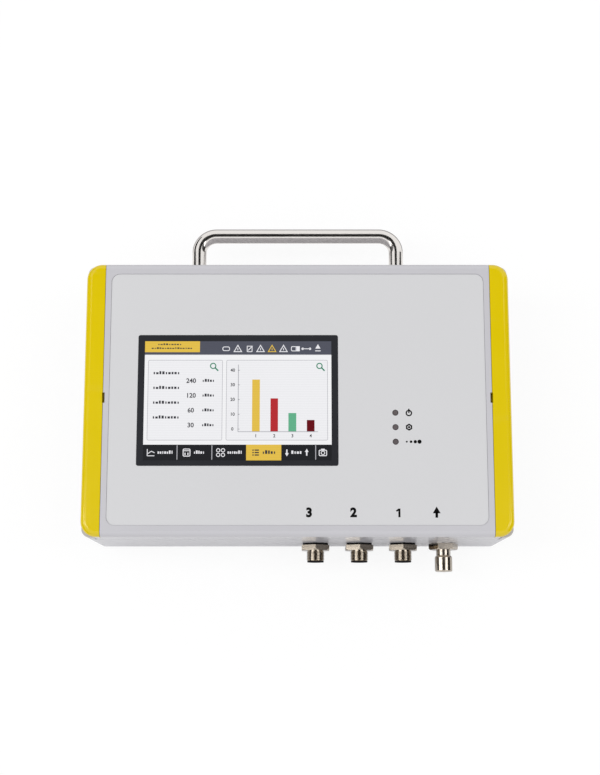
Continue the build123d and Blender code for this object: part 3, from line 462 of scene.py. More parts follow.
@dataclass(frozen=True)
class ScreenInk(Finish):
    """A lit field of the screen, crossed by faint rows."""

    body: float = 0.78
    glow: float = 0.36
    row_scale: float = 0.05 / 0.000255
    row_tint: float = 0.8
    row_share: float = 0.2
    haze_scale: float = 18.0
    haze_share: float = 0.16
    roughness: float = 0.3
    haze_mark: float = 0.1
    coat: float = 0.15
    coat_roughness: float = 0.06
    gloss: float = 0.1

    def paint(self, g: Graph) -> None:
        """Adds the nodes of the look.

        Args:
            g: The material's tree.
        """
        rows = g.add(
            "ShaderNodeTexWave",
            {"wave_type": "BANDS", "bands_direction": "Y", "wave_profile": "SIN"},
            {"Vector": g.coordinates, "Scale": self.row_scale},
        )
        haze = g.noise(self.haze_scale, detail=2)
        veil = Signal(g, rows.outputs[1]) * self.row_share + haze * self.haze_share
        lit = g.blend(veil, self.shade(self.body), self.shade(self.body * self.row_tint))
        g.surface(
            Base_Color=lit,
            Roughness=self.roughness + haze * self.haze_mark,
            Emission_Color=lit,
            Emission_Strength=self.glow,
            Coat_Weight=self.coat,
            Coat_Roughness=self.coat_roughness,
            Specular_IOR_Level=self.gloss,
        )


@dataclass(frozen=True)
class Clear(Finish):
    """A clear moulded tube or lens."""

    alpha: float
    roughness: float = 0.12
    flow_scale: float = 120.0
    flow_tint: float = 0.85
    flow_mark: float = 0.08
    flow_alpha: float = 0.1
    coat: float = 0.5
    coat_roughness: float = 0.05

    def paint(self, g: Graph) -> None:
        """Adds the nodes of the look.

        Args:
            g: The material's tree.
        """
        flow = g.noise(self.flow_scale, detail=3)
        g.surface(
            Base_Color=g.blend(flow, self.shade(self.flow_tint), self.colour),
            Roughness=self.roughness + flow * self.flow_mark,
            Alpha=self.alpha + flow * self.flow_alpha,
            Coat_Weight=self.coat,
            Coat_Roughness=self.coat_roughness,
        )


@dataclass(frozen=True)
class Board(Finish):
    """A circuit board: lacquer over copper tracks, with tinned pads."""

    track: Colour
    tin: Colour = tone(190, 190, 186)
    pitch: float = 150.0
    track_level: float = 0.42
    pad_level: float = 0.09
    pad_metal: float = 0.9
    roughness: float = 0.38
    pad_mark: float = 0.1
    dust_scale: float = 400.0
    dust_mark: float = 0.1
    track_height: float = 0.5
    copper_depth: float = 0.00004
    copper_strength: float = 0.8

    def paint(self, g: Graph) -> None:
        """Adds the nodes of the look.

        Args:
            g: The material's tree.
        """
        distance = g.cells(self.pitch, "CHEBYCHEV")
        tracks = distance.above(self.track_level)
        pads = 1 - distance.above(self.pad_level)
        dust = g.noise(self.dust_scale, detail=2) * self.dust_mark
        copper = tracks * self.track_height + pads
        g.surface(
            Base_Color=g.blend(pads, g.blend(tracks, self.colour, self.track), self.tin),
            Metallic=pads * self.pad_metal,
            Roughness=self.roughness - pads * self.pad_mark + dust,
            Normal=g.relief(copper, self.copper_depth, self.copper_strength),
        )


FINISHES: dict[str, Finish] = {
    "housing": Moulded(tone(207, 206, 211), 0.2, 2300, 0.000004, 0.015),
    "closure_yellow": Moulded(tone(232, 205, 0), 0.12, 2600, 0.000002, 0.02),
    "membrane": Film(tone(220, 220, 222)),
    "window": Glass(tone(44, 45, 49)),
    "led_lens": Clear(tone(112, 104, 106), 0.9),
    "stainless": Metal(tone(234, 230, 226), 0.12, (160, 5200, 5200), 0.000002, 0.08, 0.06),
    "nickel": Metal(tone(176, 166, 152), 0.14, (900, 900, 900), 0.000003, 0.12, 0.1),
    "zinc_screw": Metal(tone(170, 170, 165), 0.32, (700, 700, 700)),
    "seal_rubber": Rubber(tone(20, 20, 22)),
    "lid_foam": Rubber(tone(70, 70, 74), 900, 0.00008),
    "port_plastic": Moulded(tone(16, 16, 17), 0.6, 3000, 0.00001, 0.05, gloss=0.12),
    "gold_contact": Metal(tone(224, 178, 92), 0.2, (1500, 300, 1500)),
    "lead_jacket": Rubber(tone(38, 38, 42), 2500, 0.00001),
    "board_green": Board(tone(20, 84, 50), tone(34, 116, 66)),
    "module_steel": Metal(tone(180, 182, 184), 0.34, (1200, 40, 1200)),
    "chip_black": Moulded(tone(28, 28, 30), 0.5, 4200, 0.00001, 0.08),
    "block_aluminium": Metal(tone(84, 84, 89), 0.38, (70, 1900, 900), 0.00001),
    "laser_brass": Metal(tone(206, 170, 96), 0.26, (900, 60, 900)),
    "pump_plastic": Moulded(tone(52, 54, 58), 0.5, 1800, 0.00002, 0.05),
    "motor_steel": Metal(tone(158, 158, 160), 0.3, (1200, 60, 1200)),
    "filter_shell": Clear(tone(226, 230, 234), 0.75),
    "hose_clear": Clear(tone(214, 222, 226), 0.55),
}

PLUG_METAL = Metal(tone(190, 181, 169), 0.15, (900, 160, 900), 0.000003, 0.12, 0.1)
WASHER_METAL = Metal(tone(206, 200, 192), 0.3, (900, 900, 900), 0.000003)
PRINT_INK = Moulded(tone(3, 3, 4), 0.55, 3800, 0.000004, 0.05, gloss=0.1)
# painted shade: the dark colour of the rings round the lights, standing in for the shadow in the
# gap between each lens and its hole
RIM_PAINTED_SHADE = Moulded(tone(64, 58, 61), 0.5, 3800, 0.000004, 0.05, gloss=0.1)


class Wardrobe:
    """Builds the finish of each material slot, gives each CAD node and the port pieces theirs, and
    dresses pieces.
    """

    def __init__(self, record: Mapping[str, Any]) -> None:
        """Reads which slot each node has.

        Args:
            record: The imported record.
        """
        self.made: dict[str, bpy.types.Material] = {}
        self.slots = {s["node"]: s["material_slot"] for s in record["subparts"]}

    def finish(self, slot: str) -> bpy.types.Material:
        """Gives the material of a slot, which is built the first time that it is asked for.

        Args:
            slot: The slot's name.

        Returns:
            The material.
        """
        if slot not in self.made:
            self.made[slot] = FINISHES[slot].material(f"{slot}_finish")
        return self.made[slot]

    @staticmethod
    def dress(piece: bpy.types.Object, material: bpy.types.Material) -> None:
        """Makes one material the only one of a piece."""
        piece.data.materials.clear()
        piece.data.materials.append(material)

    def dress_nodes(self, nodes: Mapping[str, bpy.types.Object]) -> None:
        """Dresses every CAD node in its slot's finish.

        Args:
            nodes: The CAD objects by name.
        """
        for name, node in sorted(nodes.items()):
            self.dress(node, self.finish(self.slots[name]))
            log.info("%s wears %s", name, self.slots[name])


# ------------------------------------------------------------------ modelling by operators
class Bench:
    """Shapes meshes by Blender's modelling operators."""

    @staticmethod
    def clear() -> None:
        """Leaves edit mode and deselects everything."""
        if bpy.context.object and bpy.context.object.mode != "OBJECT":
            bpy.ops.object.mode_set(mode="OBJECT")
        bpy.ops.object.select_all(action="DESELECT")

    @staticmethod
    def pick(*pieces: bpy.types.Object) -> None:
        """Selects these pieces alone, with the first active."""
        Bench.clear()
        for piece in pieces:
            piece.select_set(True)
        bpy.context.view_layer.objects.active = pieces[0]

    @staticmethod
    @contextmanager
    def editing() -> Iterator[None]:
        """Edits the active piece, with all of it selected at the start."""
        bpy.ops.object.mode_set(mode="EDIT")
        bpy.ops.mesh.select_all(action="SELECT")
        yield
        bpy.ops.object.mode_set(mode="OBJECT")

    @staticmethod
    def name(piece: bpy.types.Object, name: str) -> bpy.types.Object:
        """Names a piece and its mesh, and gives the piece back."""
        piece.name = piece.data.name = name
        return piece

    @staticmethod
    def settle(name: str) -> bpy.types.Object:
        """Puts the active piece's place in its mesh.

        Args:
            name: The piece's new name.

        Returns:
            The piece, at the origin.
        """
        piece = bpy.context.object
        Bench.pick(piece)
        bpy.ops.object.transform_apply(location=True, rotation=True, scale=True)
        return Bench.name(piece, name)

    @staticmethod
    def turned(name: str, profile: Sequence[Point], segments: int) -> bpy.types.Object:
        """Turns a closed profile round the Z axis, by extruding and scaling a ring.

        Args:
            name: The piece's name.
            profile: Radius and height of each corner, in mm, in order round the section.
            segments: Sides of the ring.

        Returns:
            The piece, at the origin.
        """
        Bench.clear()
        radius, height = profile[0]
        bpy.ops.mesh.primitive_circle_add(
            vertices=segments,
            radius=radius * MM,
            fill_type="NOTHING",
            location=(0, 0, height * MM),
        )
        piece = Bench.settle(name)
        with Bench.editing():
            for new_radius, new_height in (*profile[1:], profile[0]):
                rise = (0, 0, (new_height - height) * MM)
                bpy.ops.mesh.extrude_region_move(TRANSFORM_OT_translate={"value": rise})
                if new_radius != radius:
                    share = new_radius / radius
                    bpy.ops.transform.resize(value=(share, share, 1), center_override=(0, 0, 0))
                radius, height = new_radius, new_height
            bpy.ops.mesh.select_all(action="SELECT")
            bpy.ops.mesh.remove_doubles(threshold=MERGE_DISTANCE)
            bpy.ops.mesh.normals_make_consistent(inside=False)
        bpy.ops.object.shade_smooth_by_angle(angle=SMOOTH_ANGLE)
        return piece

    @staticmethod
    def hexagon(
        name: str,
        across_flats: float,
        bore_radius: float,
        start: float,
        height: float,
        chamfer: Point,
    ) -> bpy.types.Object:
        """Models a hexagon flange about the Z axis, whose outer corners are turned down to a cone.

        Args:
            name: The piece's name.
            across_flats: Distance between two flats, in mm.
            bore_radius: Radius of the hole in it, in mm.
            start: Height of its underside, in mm.
            height: How thick it is, in mm.
            chamfer: How far in and how far down the corners are cut, in mm.

        Returns:
            The flange, with a corner towards +X.
        """
        corner = across_flats / math.sqrt(3)
        disc = corner + BLANK_MARGIN
        end = start + height
        cut, depth = chamfer
        profile = [
            (bore_radius, start),
            (disc, start),
            (disc, end - depth),
            (corner - cut, end),
            (bore_radius, end),
        ]
        blank = Bench.turned(f"{name}_blank", profile, FINE_ROUND)
        Bench.clear()
        bpy.ops.mesh.primitive_cylinder_add(
            vertices=6,
            radius=corner * MM,
            depth=3 * height * MM,
            location=(0, 0, (start + end) / 2 * MM),
            rotation=(0, 0, QUARTER / 3),
        )
        cutter = Bench.settle(f"{name}_cutter")
        Bench.pick(blank)
        trim = blank.modifiers.new("hexagon", "BOOLEAN")
        trim.operation = "INTERSECT"
        trim.object = cutter
        bpy.ops.object.modifier_apply(modifier=trim.name)
        bpy.ops.object.shade_flat()
        Bench.drop(cutter)
        return blank

    @staticmethod
    def copy(piece: bpy.types.Object, name: str) -> bpy.types.Object:
        """Copies a piece, with a mesh of its own.

        Args:
            piece: The pattern.
            name: The copy's name.

        Returns:
            The copy.
        """
        Bench.pick(piece)
        bpy.ops.object.duplicate(linked=False)
        return Bench.name(bpy.context.object, name)

    @staticmethod
    def drop(piece: bpy.types.Object) -> None:
        """Takes a cutter or a pattern away once it has been used."""
        Bench.pick(piece)
        bpy.ops.object.delete()

    @staticmethod
    def join(name: str, pieces: Sequence[bpy.types.Object]) -> bpy.types.Object:
        """Joins pieces into the first one.

        Args:
            name: The joined piece's name.
            pieces: What is joined.

        Returns:
            The joined piece.
        """
        Bench.pick(*pieces)
        if len(pieces) > 1:
            bpy.ops.object.join()
        return Bench.name(pieces[0], name)


class Sheet:
    """Flat shapes on one level, raised together into a thin layer that rides on the lid."""

    def __init__(self, name: str, level: float, thickness: float) -> None:
        """Starts a layer.

        Args:
            name: The piece's name.
            level: Height of its underside, in mm.
            thickness: How thick it is, in mm.
        """
        self.name = name
        self.level = level * MM
        self.thickness = thickness * MM
        self.shapes: list[bpy.types.Object] = []

    def rect(self, x0: float, y0: float, x1: float, y1: float, radius: float = 0.0) -> "Sheet":
        """Adds a rectangle.

        Args:
            x0: Left side, in mm.
            y0: Lower side, in mm.
            x1: Right side, in mm.
            y1: Upper side, in mm.
            radius: Radius of its corners, in mm.

        Returns:
            The layer.
        """
        return self.bar((x0 + x1) / 2, (y0 + y1) / 2, x1 - x0, y1 - y0, 0, radius)

    def bar(
        self,
        x: float,
        y: float,
        width: float,
        height: float,
        turn: float = 0.0,
        radius: float = 0.0,
    ) -> "Sheet":
        """Adds a bar about its centre.

        Args:
            x: Centre, in mm.
            y: Centre, in mm.
            width: Length along X before it is turned, in mm.
            height: Length along Y before it is turned, in mm.
            turn: Turn to the left, in degrees.
            radius: Radius of its corners, in mm.

        Returns:
            The layer.
        """
        Bench.clear()
        bpy.ops.mesh.primitive_plane_add(size=1, location=(x * MM, y * MM, self.level))
        plane = bpy.context.object
        plane.scale = (width * MM, height * MM, 1)
        plane.rotation_euler = (0, 0, math.radians(turn))
        self.shapes.append(Bench.settle(self.name))
        if radius:
            with Bench.editing():
                bpy.ops.mesh.bevel(offset=radius * MM, segments=4, affect="VERTICES")
        return self

    def disc(
        self, x: float, y: float, radius: float, sides: int = 24, turn: float = 0.0
    ) -> "Sheet":
        """Adds a disc or a regular polygon about its centre.

        Args:
            x: Centre, in mm.
            y: Centre, in mm.
            radius: Radius to its corners, in mm.
            sides: Number of sides.
            turn: Turn to the left, in degrees.

        Returns:
            The layer.
        """
        Bench.clear()
        bpy.ops.mesh.primitive_circle_add(
            vertices=sides,
            radius=radius * MM,
            fill_type="NGON",
            location=(x * MM, y * MM, self.level),
            rotation=(0, 0, math.radians(turn)),
        )
        self.shapes.append(Bench.settle(self.name))
        return self

    def hollow(self, width: float) -> "Sheet":
        """Opens the last shape and leaves a band along its edge.

        Args:
            width: Width of the band, in mm.

        Returns:
            The layer.
        """
        with Bench.editing():
            bpy.ops.mesh.inset(thickness=width * MM)
            bpy.ops.mesh.delete(type="FACE")
        return self

    def ring(self, x: float, y: float, radius: float, width: float, sides: int = 24) -> "Sheet":
        """Adds an open disc or polygon with a band of this width."""
        return self.disc(x, y, radius, sides).hollow(width)

    def frame(self, box: Box, width: float, radius: float) -> "Sheet":
        """Adds an open rectangle with a band of this width and rounded corners."""
        return self.rect(*box, radius).hollow(width)

    def numeral(self, text: str, x: float, y: float, height: float, weight: float) -> "Sheet":
        """Adds plain figures, centred.

        Args:
            text: The figures.
            x: Centre, in mm.
            y: Centre, in mm.
            height: Height of a figure, in mm.
            weight: How far each stroke is thickened, in mm.

        Returns:
            The layer.
        """
        Bench.clear()
        bpy.ops.object.text_add(location=(x * MM, y * MM, self.level))
        figures = bpy.context.object
        figures.data.body = text
        figures.data.align_x = "CENTER"
        figures.data.align_y = "CENTER"
        figures.data.size = height * MM / FIGURE_SHARE
        figures.data.offset = weight * MM
        figures.data.resolution_u = 3
        Bench.pick(figures)
        bpy.ops.object.convert(target="MESH")
        self.shapes.append(Bench.settle(self.name))
        return self

    def words(self, x0: float, x1: float, y: float, height: float, letters: int) -> "Sheet":
        """Adds a row of short strokes, which stands for a word too small to read.

        Args:
            x0: Left end, in mm.
            x1: Right end, in mm.
            y: Middle of the row, in mm.
            height: Height of a stroke, in mm.
            letters: Number of strokes.

        Returns:
            The layer.
        """
        step = (x1 - x0) / letters
        for i in range(letters):
            tall = height * (1, 1.4, 1, 0.95, 1.3, 0.9, 1.05)[(3 * i + letters) % 7]
            wide = step * (0.74, 0.42, 0.8, 0.6)[(i + letters) % 4]
            self.bar(x0 + (i + 0.5) * step, y + (tall - height) / 2, wide, tall)
        return self

    def done(self, material: bpy.types.Material, slot: str) -> bpy.types.Object:
        """Joins the shapes, raises them into a solid layer, dresses it and rides it on the lid.

        Args:
            material: The layer's finish.
            slot: Its material slot; not used.

        Returns:
            The finished piece.
        """
        piece = Bench.join(self.name, self.shapes)
        with Bench.editing():
            rise = (0, 0, self.thickness)
            bpy.ops.mesh.extrude_region_move(TRANSFORM_OT_translate={"value": rise})
            bpy.ops.mesh.select_all(action="SELECT")
            bpy.ops.mesh.normals_make_consistent(inside=False)
        Wardrobe.dress(piece, material)
        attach(piece, "lid")
        return piece


# ------------------------------------------------------------------ sub-assemblies
@dataclass
class WallFitting:
    """What is screwed into the lower wall and points down from it."""

    wall_y: float = -90.5
    level: float = 30.0

    def fit(
        self,
        piece: bpy.types.Object,
        x: float,
        turn: float,
        material: bpy.types.Material,
        slot: str,
        node: str,
    ) -> bpy.types.Object:
        """Puts a piece that was modelled about the Z axis in its place in the wall.

        Args:
            piece: The piece, with its foot at the origin.
            x: Place along the wall, in mm.
            turn: Turn about its own axis, in degrees.
            material: Its finish.
            slot: Its material slot; not used.
            node: The CAD node that it stands for.

        Returns:
            The finished piece.
        """
        piece.location = Vector((x, self.wall_y, self.level)) * MM
        piece.rotation_euler = (QUARTER, math.radians(-turn), 0)
        Bench.pick(piece)
        bpy.ops.object.transform_apply(location=True, rotation=True, scale=True)
        Wardrobe.dress(piece, material)
        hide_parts(node)
        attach(piece, "base")
        return piece


class Port(Enum):
    """The three electrical ports, with the place and the turn of each hexagon."""

    A = ("a", 71.8, 32.0)
    B = ("b", 42.0, 29.0)
    C = ("c", 12.2, 30.0)


@dataclass(kw_only=True)
class PortShells(WallFitting):
    """The ports' metal shells and seals: each is modelled once and copied.

    A shell is a hexagon flange and a threaded barrel, and the flange squeezes the seal. All sizes
    are in mm.
    """

    wardrobe: Wardrobe
    gasket: float = 1.3
    gasket_radius: float = 8.6
    gasket_lip: float = 0.1
    gasket_bulge: float = 0.05
    gasket_gap: float = 0.1
    across_flats: float = 18.7
    flange: float = 3.6
    flange_chamfer: Point = (1.0, 1.4)
    flange_gap: float = 0.2
    barrel_radius: float = 6.0
    bore_radius: float = 5.0
    barrel: float = 7.1
    inside: float = 14.0
    inside_chamfer: float = 0.3
    thread_pitch: float = 1.0
    thread_depth: float = 0.5
    crest: Point = (0.26, 0.58)
    valley: float = 0.84
    relief: float = 0.7
    runout: float = 0.3
    end_chamfer: float = 0.25
    sunk: Point = (0.6, 0.5)

    def thread(self) -> list[Point]:
        """Gives the corners of the threaded stretch.

        Returns:
            Radius and height of each corner, from the flange outwards.
        """
        start = self.gasket + self.flange
        end = start + self.barrel
        root = self.barrel_radius - self.thread_depth
        at = start + self.relief
        corners = [(root, start - self.sunk[1]), (root, at)]
        while at + self.thread_pitch < end - self.runout:
            corners += [(self.barrel_radius, at + c * self.thread_pitch) for c in self.crest]
            corners += [(root, at + c * self.thread_pitch) for c in (self.valley, 1.0)]
            at += self.thread_pitch
        return corners + [(self.barrel_radius - self.end_chamfer, end), (self.bore_radius, end)]

    def shell(self) -> bpy.types.Object:
        """Models one shell.

        Returns:
            The shell about the Z axis, with its flange's first corner towards +X.
        """
        name = "port_shell_pattern"
        profile = [
            (self.bore_radius, -self.inside),
            (self.barrel_radius - self.inside_chamfer, -self.inside),
            (self.barrel_radius, -self.inside + self.inside_chamfer),
            (self.barrel_radius, self.gasket + self.flange - self.sunk[0]),
            *self.thread(),
        ]
        barrel = Bench.turned(name, profile, ROUND)
        flange = Bench.hexagon(
            name,
            self.across_flats,
            self.bore_radius + self.flange_gap,
            self.gasket,
            self.flange,
            self.flange_chamfer,
        )
        return Bench.join(name, [barrel, flange])

    def seal(self) -> bpy.types.Object:
        """Models the rubber ring that each flange squeezes against the wall.

        Returns:
            The ring about the Z axis.
        """
        inner = self.barrel_radius + self.gasket_gap
        lip = self.gasket_radius - self.gasket_lip
        profile = [
            (inner, 0.0),
            (lip, 0.0),
            (self.gasket_radius + self.gasket_bulge, self.gasket / 2),
            (lip, self.gasket),
            (inner, self.gasket),
        ]
        return Bench.turned("port_seal_pattern", profile, ROUND)

    def build(self) -> list[bpy.types.Object]:
        """Copies the shell and its seal to each port in the wall and dresses them.

        Returns:
            The finished pieces.
        """
        pieces = []
        for pattern, part, node, slot in (
            (self.shell(), "threaded_shell", "shell", "nickel"),
            (self.seal(), "squeezed_gasket", "gasket", "seal_rubber"),
        ):
            material = self.wardrobe.finish(slot)
            for letter, x, turn in (port.value for port in Port):
                piece = Bench.copy(pattern, f"port_{letter}_{part}")
                pieces.append(self.fit(piece, x, turn, material, slot, f"port_{letter}_{node}"))
            Bench.drop(pattern)
        return pieces


@dataclass
class Inlet(WallFitting):
    """The air inlet: a stepped plug with a hexagon, on a thin washer. All sizes are in mm."""

    x: float = 99.4
    turn: float = -5.0
    washer: float = 0.35
    washer_radius: float = 8.2
    washer_bore: float = 5.1
    washer_chamfer: float = 0.1
    across_flats: float = 17.4
    flange: float = 4.05
    flange_bore: float = 4.6
    flange_chamfer: Point = (0.8, 1.0)
    barb: tuple[Point, ...] = (
        (1.3, -20.5), (1.5, -20.5), (2.0, -18.3), (1.65, -18.1), (1.65, -11.5)
    )
    thread: tuple[Point, ...] = ((4.6, -11.5), (5.0, -11.1), (5.0, 0.85))
    neck: tuple[Point, ...] = ((4.85, 3.9), (4.85, 4.6), (4.85, 7.8), (4.85, 8.0))
    groove: tuple[Point, ...] = ((4.6, 8.1), (4.6, 8.3), (5.2, 8.4))
    body: tuple[Point, ...] = ((5.75, 9.35), (5.9, 9.6), (5.9, 9.9), (5.9, 18.1), (5.9, 18.4))
    tip: tuple[Point, ...] = (
        (5.78, 18.6), (5.5, 18.95), (5.0, 19.2), (1.8, 19.2), (1.3, 18.7)
    )

    def plug(self) -> bpy.types.Object:
        """Models the plug, hexagon and all.

        Returns:
            The plug about the Z axis.
        """
        name = "inlet_stepped_plug"
        profile = self.barb + self.thread + self.neck + self.groove + self.body + self.tip
        flange = (self.across_flats, self.flange_bore, self.washer, self.flange)
        turning = Bench.turned(name, profile, FINE_ROUND)
        return Bench.join(name, [turning, Bench.hexagon(name, *flange, self.flange_chamfer)])

    def ring(self) -> bpy.types.Object:
        """Models the thin washer under the hexagon.

        Returns:
            The washer about the Z axis.
        """
        profile = [
            (self.washer_bore, 0.0),
            (self.washer_radius, 0.0),
            (self.washer_radius, self.washer - self.washer_chamfer),
            (self.washer_radius - self.washer_chamfer, self.washer),
            (self.washer_bore, self.washer),
        ]
        return Bench.turned("inlet_thin_washer", profile, ROUND)

    def build(self) -> list[bpy.types.Object]:
        """Models, places and dresses the plug and its washer.

        Returns:
            The finished pieces.
        """
        metals = (PLUG_METAL, WASHER_METAL)
        nodes = ("inlet_plug", "inlet_washer")
        return [
            self.fit(
                piece, self.x, self.turn, metal.material(f"{node}_finish"), "stainless", node
            )
            for piece, metal, node in zip((self.plug(), self.ring()), metals, nodes)
        ]


@dataclass
class Screen:
    """What the screen shows: a head bar, a card of readings, a chart and a row of keys.

    All places and sizes are in mm. A column of the chart has its left side, right side and top.
    """

    left: float = -100.2
    right: float = 22.2
    bottom: float = -41.3
    top: float = 37.65
    head_bottom: float = 28.6
    keys_top: float = -31.0
    level: float = 89.75
    layer: float = 0.02
    cards: tuple[Box, ...] = ((-97.9, -28.2, -49.0, 25.1), (-46.6, -28.2, 19.8, 25.1))
    card_radius: float = 1.0
    card_line: float = 0.3
    rule: float = 0.45
    pen: float = 0.5
    bold_pen: float = 0.55
    axis_x: float = -38.7
    axis_foot: float = -22.5
    column_foot: float = -22.3
    ticks: tuple[str, ...] = ("40", "30", "20", "10", "0")
    tick_top: float = 18.2
    tick_step: float = 9.75
    readings: tuple[str, ...] = ("240", "120", "60", "30")
    reading_top: float = 16.3
    reading_step: float = 9.8
    tab: Point = (-64.1, 30.3)
    lit_key: Point = (-33.3, -10.5)
    head_y: float = 32.6
    key_y: float = -36.2
    key_rules: Place = (-78.1, -55.5, 11.8)
    lenses: Point = (-55.3, 14.4)
    lit_warning: float = -16.7
    warnings: Place = (-39.2, -24.3, -9.2)
    columns: dict[str, Place] = field(
        default_factory=lambda: {
            "yellow": (-29.6, -24.6, 12.0),
            "red": (-17.6, -12.7, -0.5),
            "green": (-5.9, -0.8, -10.2),
            "maroon": (6.1, 11.1, -14.8),
        }
    )
    inks: dict[str, tuple[str, int, Colour]] = field(
        default_factory=lambda: {
            "slate": ("screen_head", 0, tone(84, 86, 98)),
            "paper": ("screen_paper", 0, tone(244, 244, 246)),
            "keys": ("screen_keys", 0, tone(34, 35, 39)),
            "card": ("screen_cards", 1, tone(240, 240, 243)),
            "line": ("screen_lines", 2, tone(176, 176, 182)),
            "yellow": ("screen_yellow", 2, tone(229, 192, 76)),
            "red": ("screen_red", 2, tone(184, 44, 50)),
            "green": ("screen_green", 2, tone(100, 178, 140)),
            "maroon": ("screen_maroon", 2, tone(105, 10, 22)),
            "lens": ("screen_lenses", 2, tone(60, 140, 110)),
            "text": ("screen_text", 3, tone(60, 60, 66)),
            "white": ("screen_icons", 3, tone(236, 236, 240)),
        }
    )

    def fields(self, sheets: Mapping[str, Sheet]) -> None:
        """Draws the grounds, the cards and the columns of the chart.

        Args:
            sheets: The layer of each ink.
        """
        sheets["slate"].rect(self.left, self.head_bottom, self.right, self.top)
        sheets["paper"].rect(self.left, self.keys_top, self.right, self.head_bottom)
        sheets["keys"].rect(self.left, self.bottom, self.right, self.keys_top)
        for card in self.cards:
            sheets["card"].rect(*card, self.card_radius)
            sheets["line"].frame(card, self.card_line, self.card_radius)
        (right, bottom), (key_left, key_right) = self.tab, self.lit_key
        sheets["yellow"].rect(self.left, bottom, right, self.top)
        sheets["yellow"].rect(key_left, self.bottom, key_right, self.keys_top)
        for ink, (left, right, top) in self.columns.items():
            sheets[ink].rect(left, self.column_foot, right, top)

    def lines(self, line: Sheet, lens: Sheet) -> None:
        """Draws the axes, the ticks, the rules between the keys and the lenses on the cards.

        Args:
            line: The layer of grey lines.
            lens: The layer of the lenses.
        """
        line.bar(self.axis_x, -0.3, self.rule, 44.6).bar(-12.6, self.axis_foot, 52.0, self.rule)
        for tick in range(len(self.ticks)):
            line.bar(self.axis_x + 0.4, self.tick_top - self.tick_step * tick, 1.3, self.rule)
        for x in self.key_rules:
            line.bar(x, -36.1, self.bold_pen, 9.4)
        for x in self.lenses:
            lens.ring(x, 21.1, 2.1, 0.7).bar(x + 2.3, 18.9, 3.0, 0.9, -45)

    def text(self, text: Sheet) -> None:
        """Draws the dark figures, and strokes in place of words.

        Args:
            text: The layer.
        """
        for row, value in enumerate(self.readings):
            y = self.reading_top - self.reading_step * row
            text.words(-94.8, -76.9, y, 1.5, 9)
            text.numeral(value, -69.6, y - 5.2, 3.0, 0.09)
            text.words(-62.5, -54.2, y - 5.1, 1.4, 5)
        for tick, value in enumerate(self.ticks):
            text.numeral(value, -42.4, self.tick_top - self.tick_step * tick, 2.1, 0.06)
        for x, value in ((-27.1, "1"), (-15.1, "2"), (-3.3, "3"), (8.6, "4")):
            text.numeral(value, x, -25.3, 2.1, 0.06)
        text.words(-92, -76, 35.5, 0.8, 9).words(-96, -69, 32.9, 0.8, 16)
        text.words(-23.0, -14.0, self.key_y, 1.7, 5)
        for row in range(3):
            y = self.key_y + 1.6 - 1.6 * row
            text.bar(-28.8, y, 0.9, 0.8).bar(-26.4, y, 2.8, 0.8)

    def warning(self, sheet: Sheet, x: float) -> None:
        """Draws a triangle with a stroke in it in the head bar."""
        y = self.head_y
        sheet.ring(x, y - 0.5, 3.4, self.bold_pen, 3).bar(x, y - 0.3, self.pen, 1.5)

    def head_icons(self, icons: Sheet) -> None:
        """Draws the pale signs in the head bar.

        Args:
            icons: The layer.
        """
        y, pen, bold = self.head_y, self.pen, self.bold_pen
        icons.frame((-49.3, y - 1.5, -44.4, y + 1.5), pen, 1.2)
        for x in self.warnings:
            self.warning(icons, x)
        icons.frame((-33.3, y - 2.2, -29.6, y + 2.0), pen, 0.4).bar(-31.0, y + 0.4, 4.2, bold, 45)
        icons.frame((-4.3, y - 1.7, -0.6, y + 1.7), pen, 1.0).rect(-1.2, y - 1.7, 1.5, y + 1.7)
        icons.bar(5.8, y, 5.0, pen).disc(3.4, y, 0.8).disc(8.2, y, 0.8)
        icons.disc(13.4, y + 1.1, 2.0, 3).bar(13.4, y - 1.4, 3.6, 0.6)

    def key_icons(self, icons: Sheet) -> None:
        """Draws the pale signs on the keys.

        Args:
            icons: The layer.
        """
        y, pen, bold = self.key_y, self.pen, self.bold_pen
        icons.bar(-97.4, y, pen, 4.6).bar(-95.2, y - 2.1, 5.0, pen)
        icons.bar(-95.9, y + 0.1, 2.6, pen, 35).bar(-93.8, y + 0.4, 2.6, pen, -25)
        icons.frame((-74.4, y - 2.6, -69.4, y + 2.6), bold, 0.9).bar(-71.9, y + 1.2, 3.8, pen)
        icons.bar(-72.9, y - 0.9, 0.7, 1.6).bar(-71.0, y - 0.9, 0.7, 1.6)
        for rise in (1.5, -1.5):
            icons.ring(-51.4, y + rise, 1.35, pen).ring(-48.3, y + rise, 1.35, pen)
        icons.words(-91.0, -80.6, y, 1.5, 7).words(-67.5, -60.2, y, 1.5, 5)
        icons.words(-45.6, -35.8, y, 1.5, 7).words(-4.2, 2.9, y, 1.6, 4)
        for x, up, turn in ((-6.9, -1, 180), (6.0, 1, 0)):
            icons.bar(x, y - 0.8 * up, 0.9, 2.4).disc(x, y + 1.1 * up, 1.4, 3, turn)
        icons.frame((13.8, y - 2.3, 19.2, y + 1.8), bold, 0.8).ring(16.5, y - 0.2, 1.4, pen)
        icons.bar(16.5, y + 2.1, 2.4, 0.8)

    def build(self) -> list[bpy.types.Object]:
        """Models and dresses every layer of the screen.

        Returns:
            The finished pieces, lowest first.
        """
        sheets = {
            ink: Sheet(name, self.level + floor * self.layer, self.layer)
            for ink, (name, floor, _) in self.inks.items()
        }
        self.fields(sheets)
        self.lines(sheets["line"], sheets["lens"])
        self.warning(sheets["yellow"], self.lit_warning)
        self.text(sheets["text"])
        self.head_icons(sheets["white"])
        self.key_icons(sheets["white"])
        return [
            sheets[ink].done(ScreenInk(colour).material(f"screen_{ink}_finish"), "window")
            for ink, (_, _, colour) in self.inks.items()
        ]


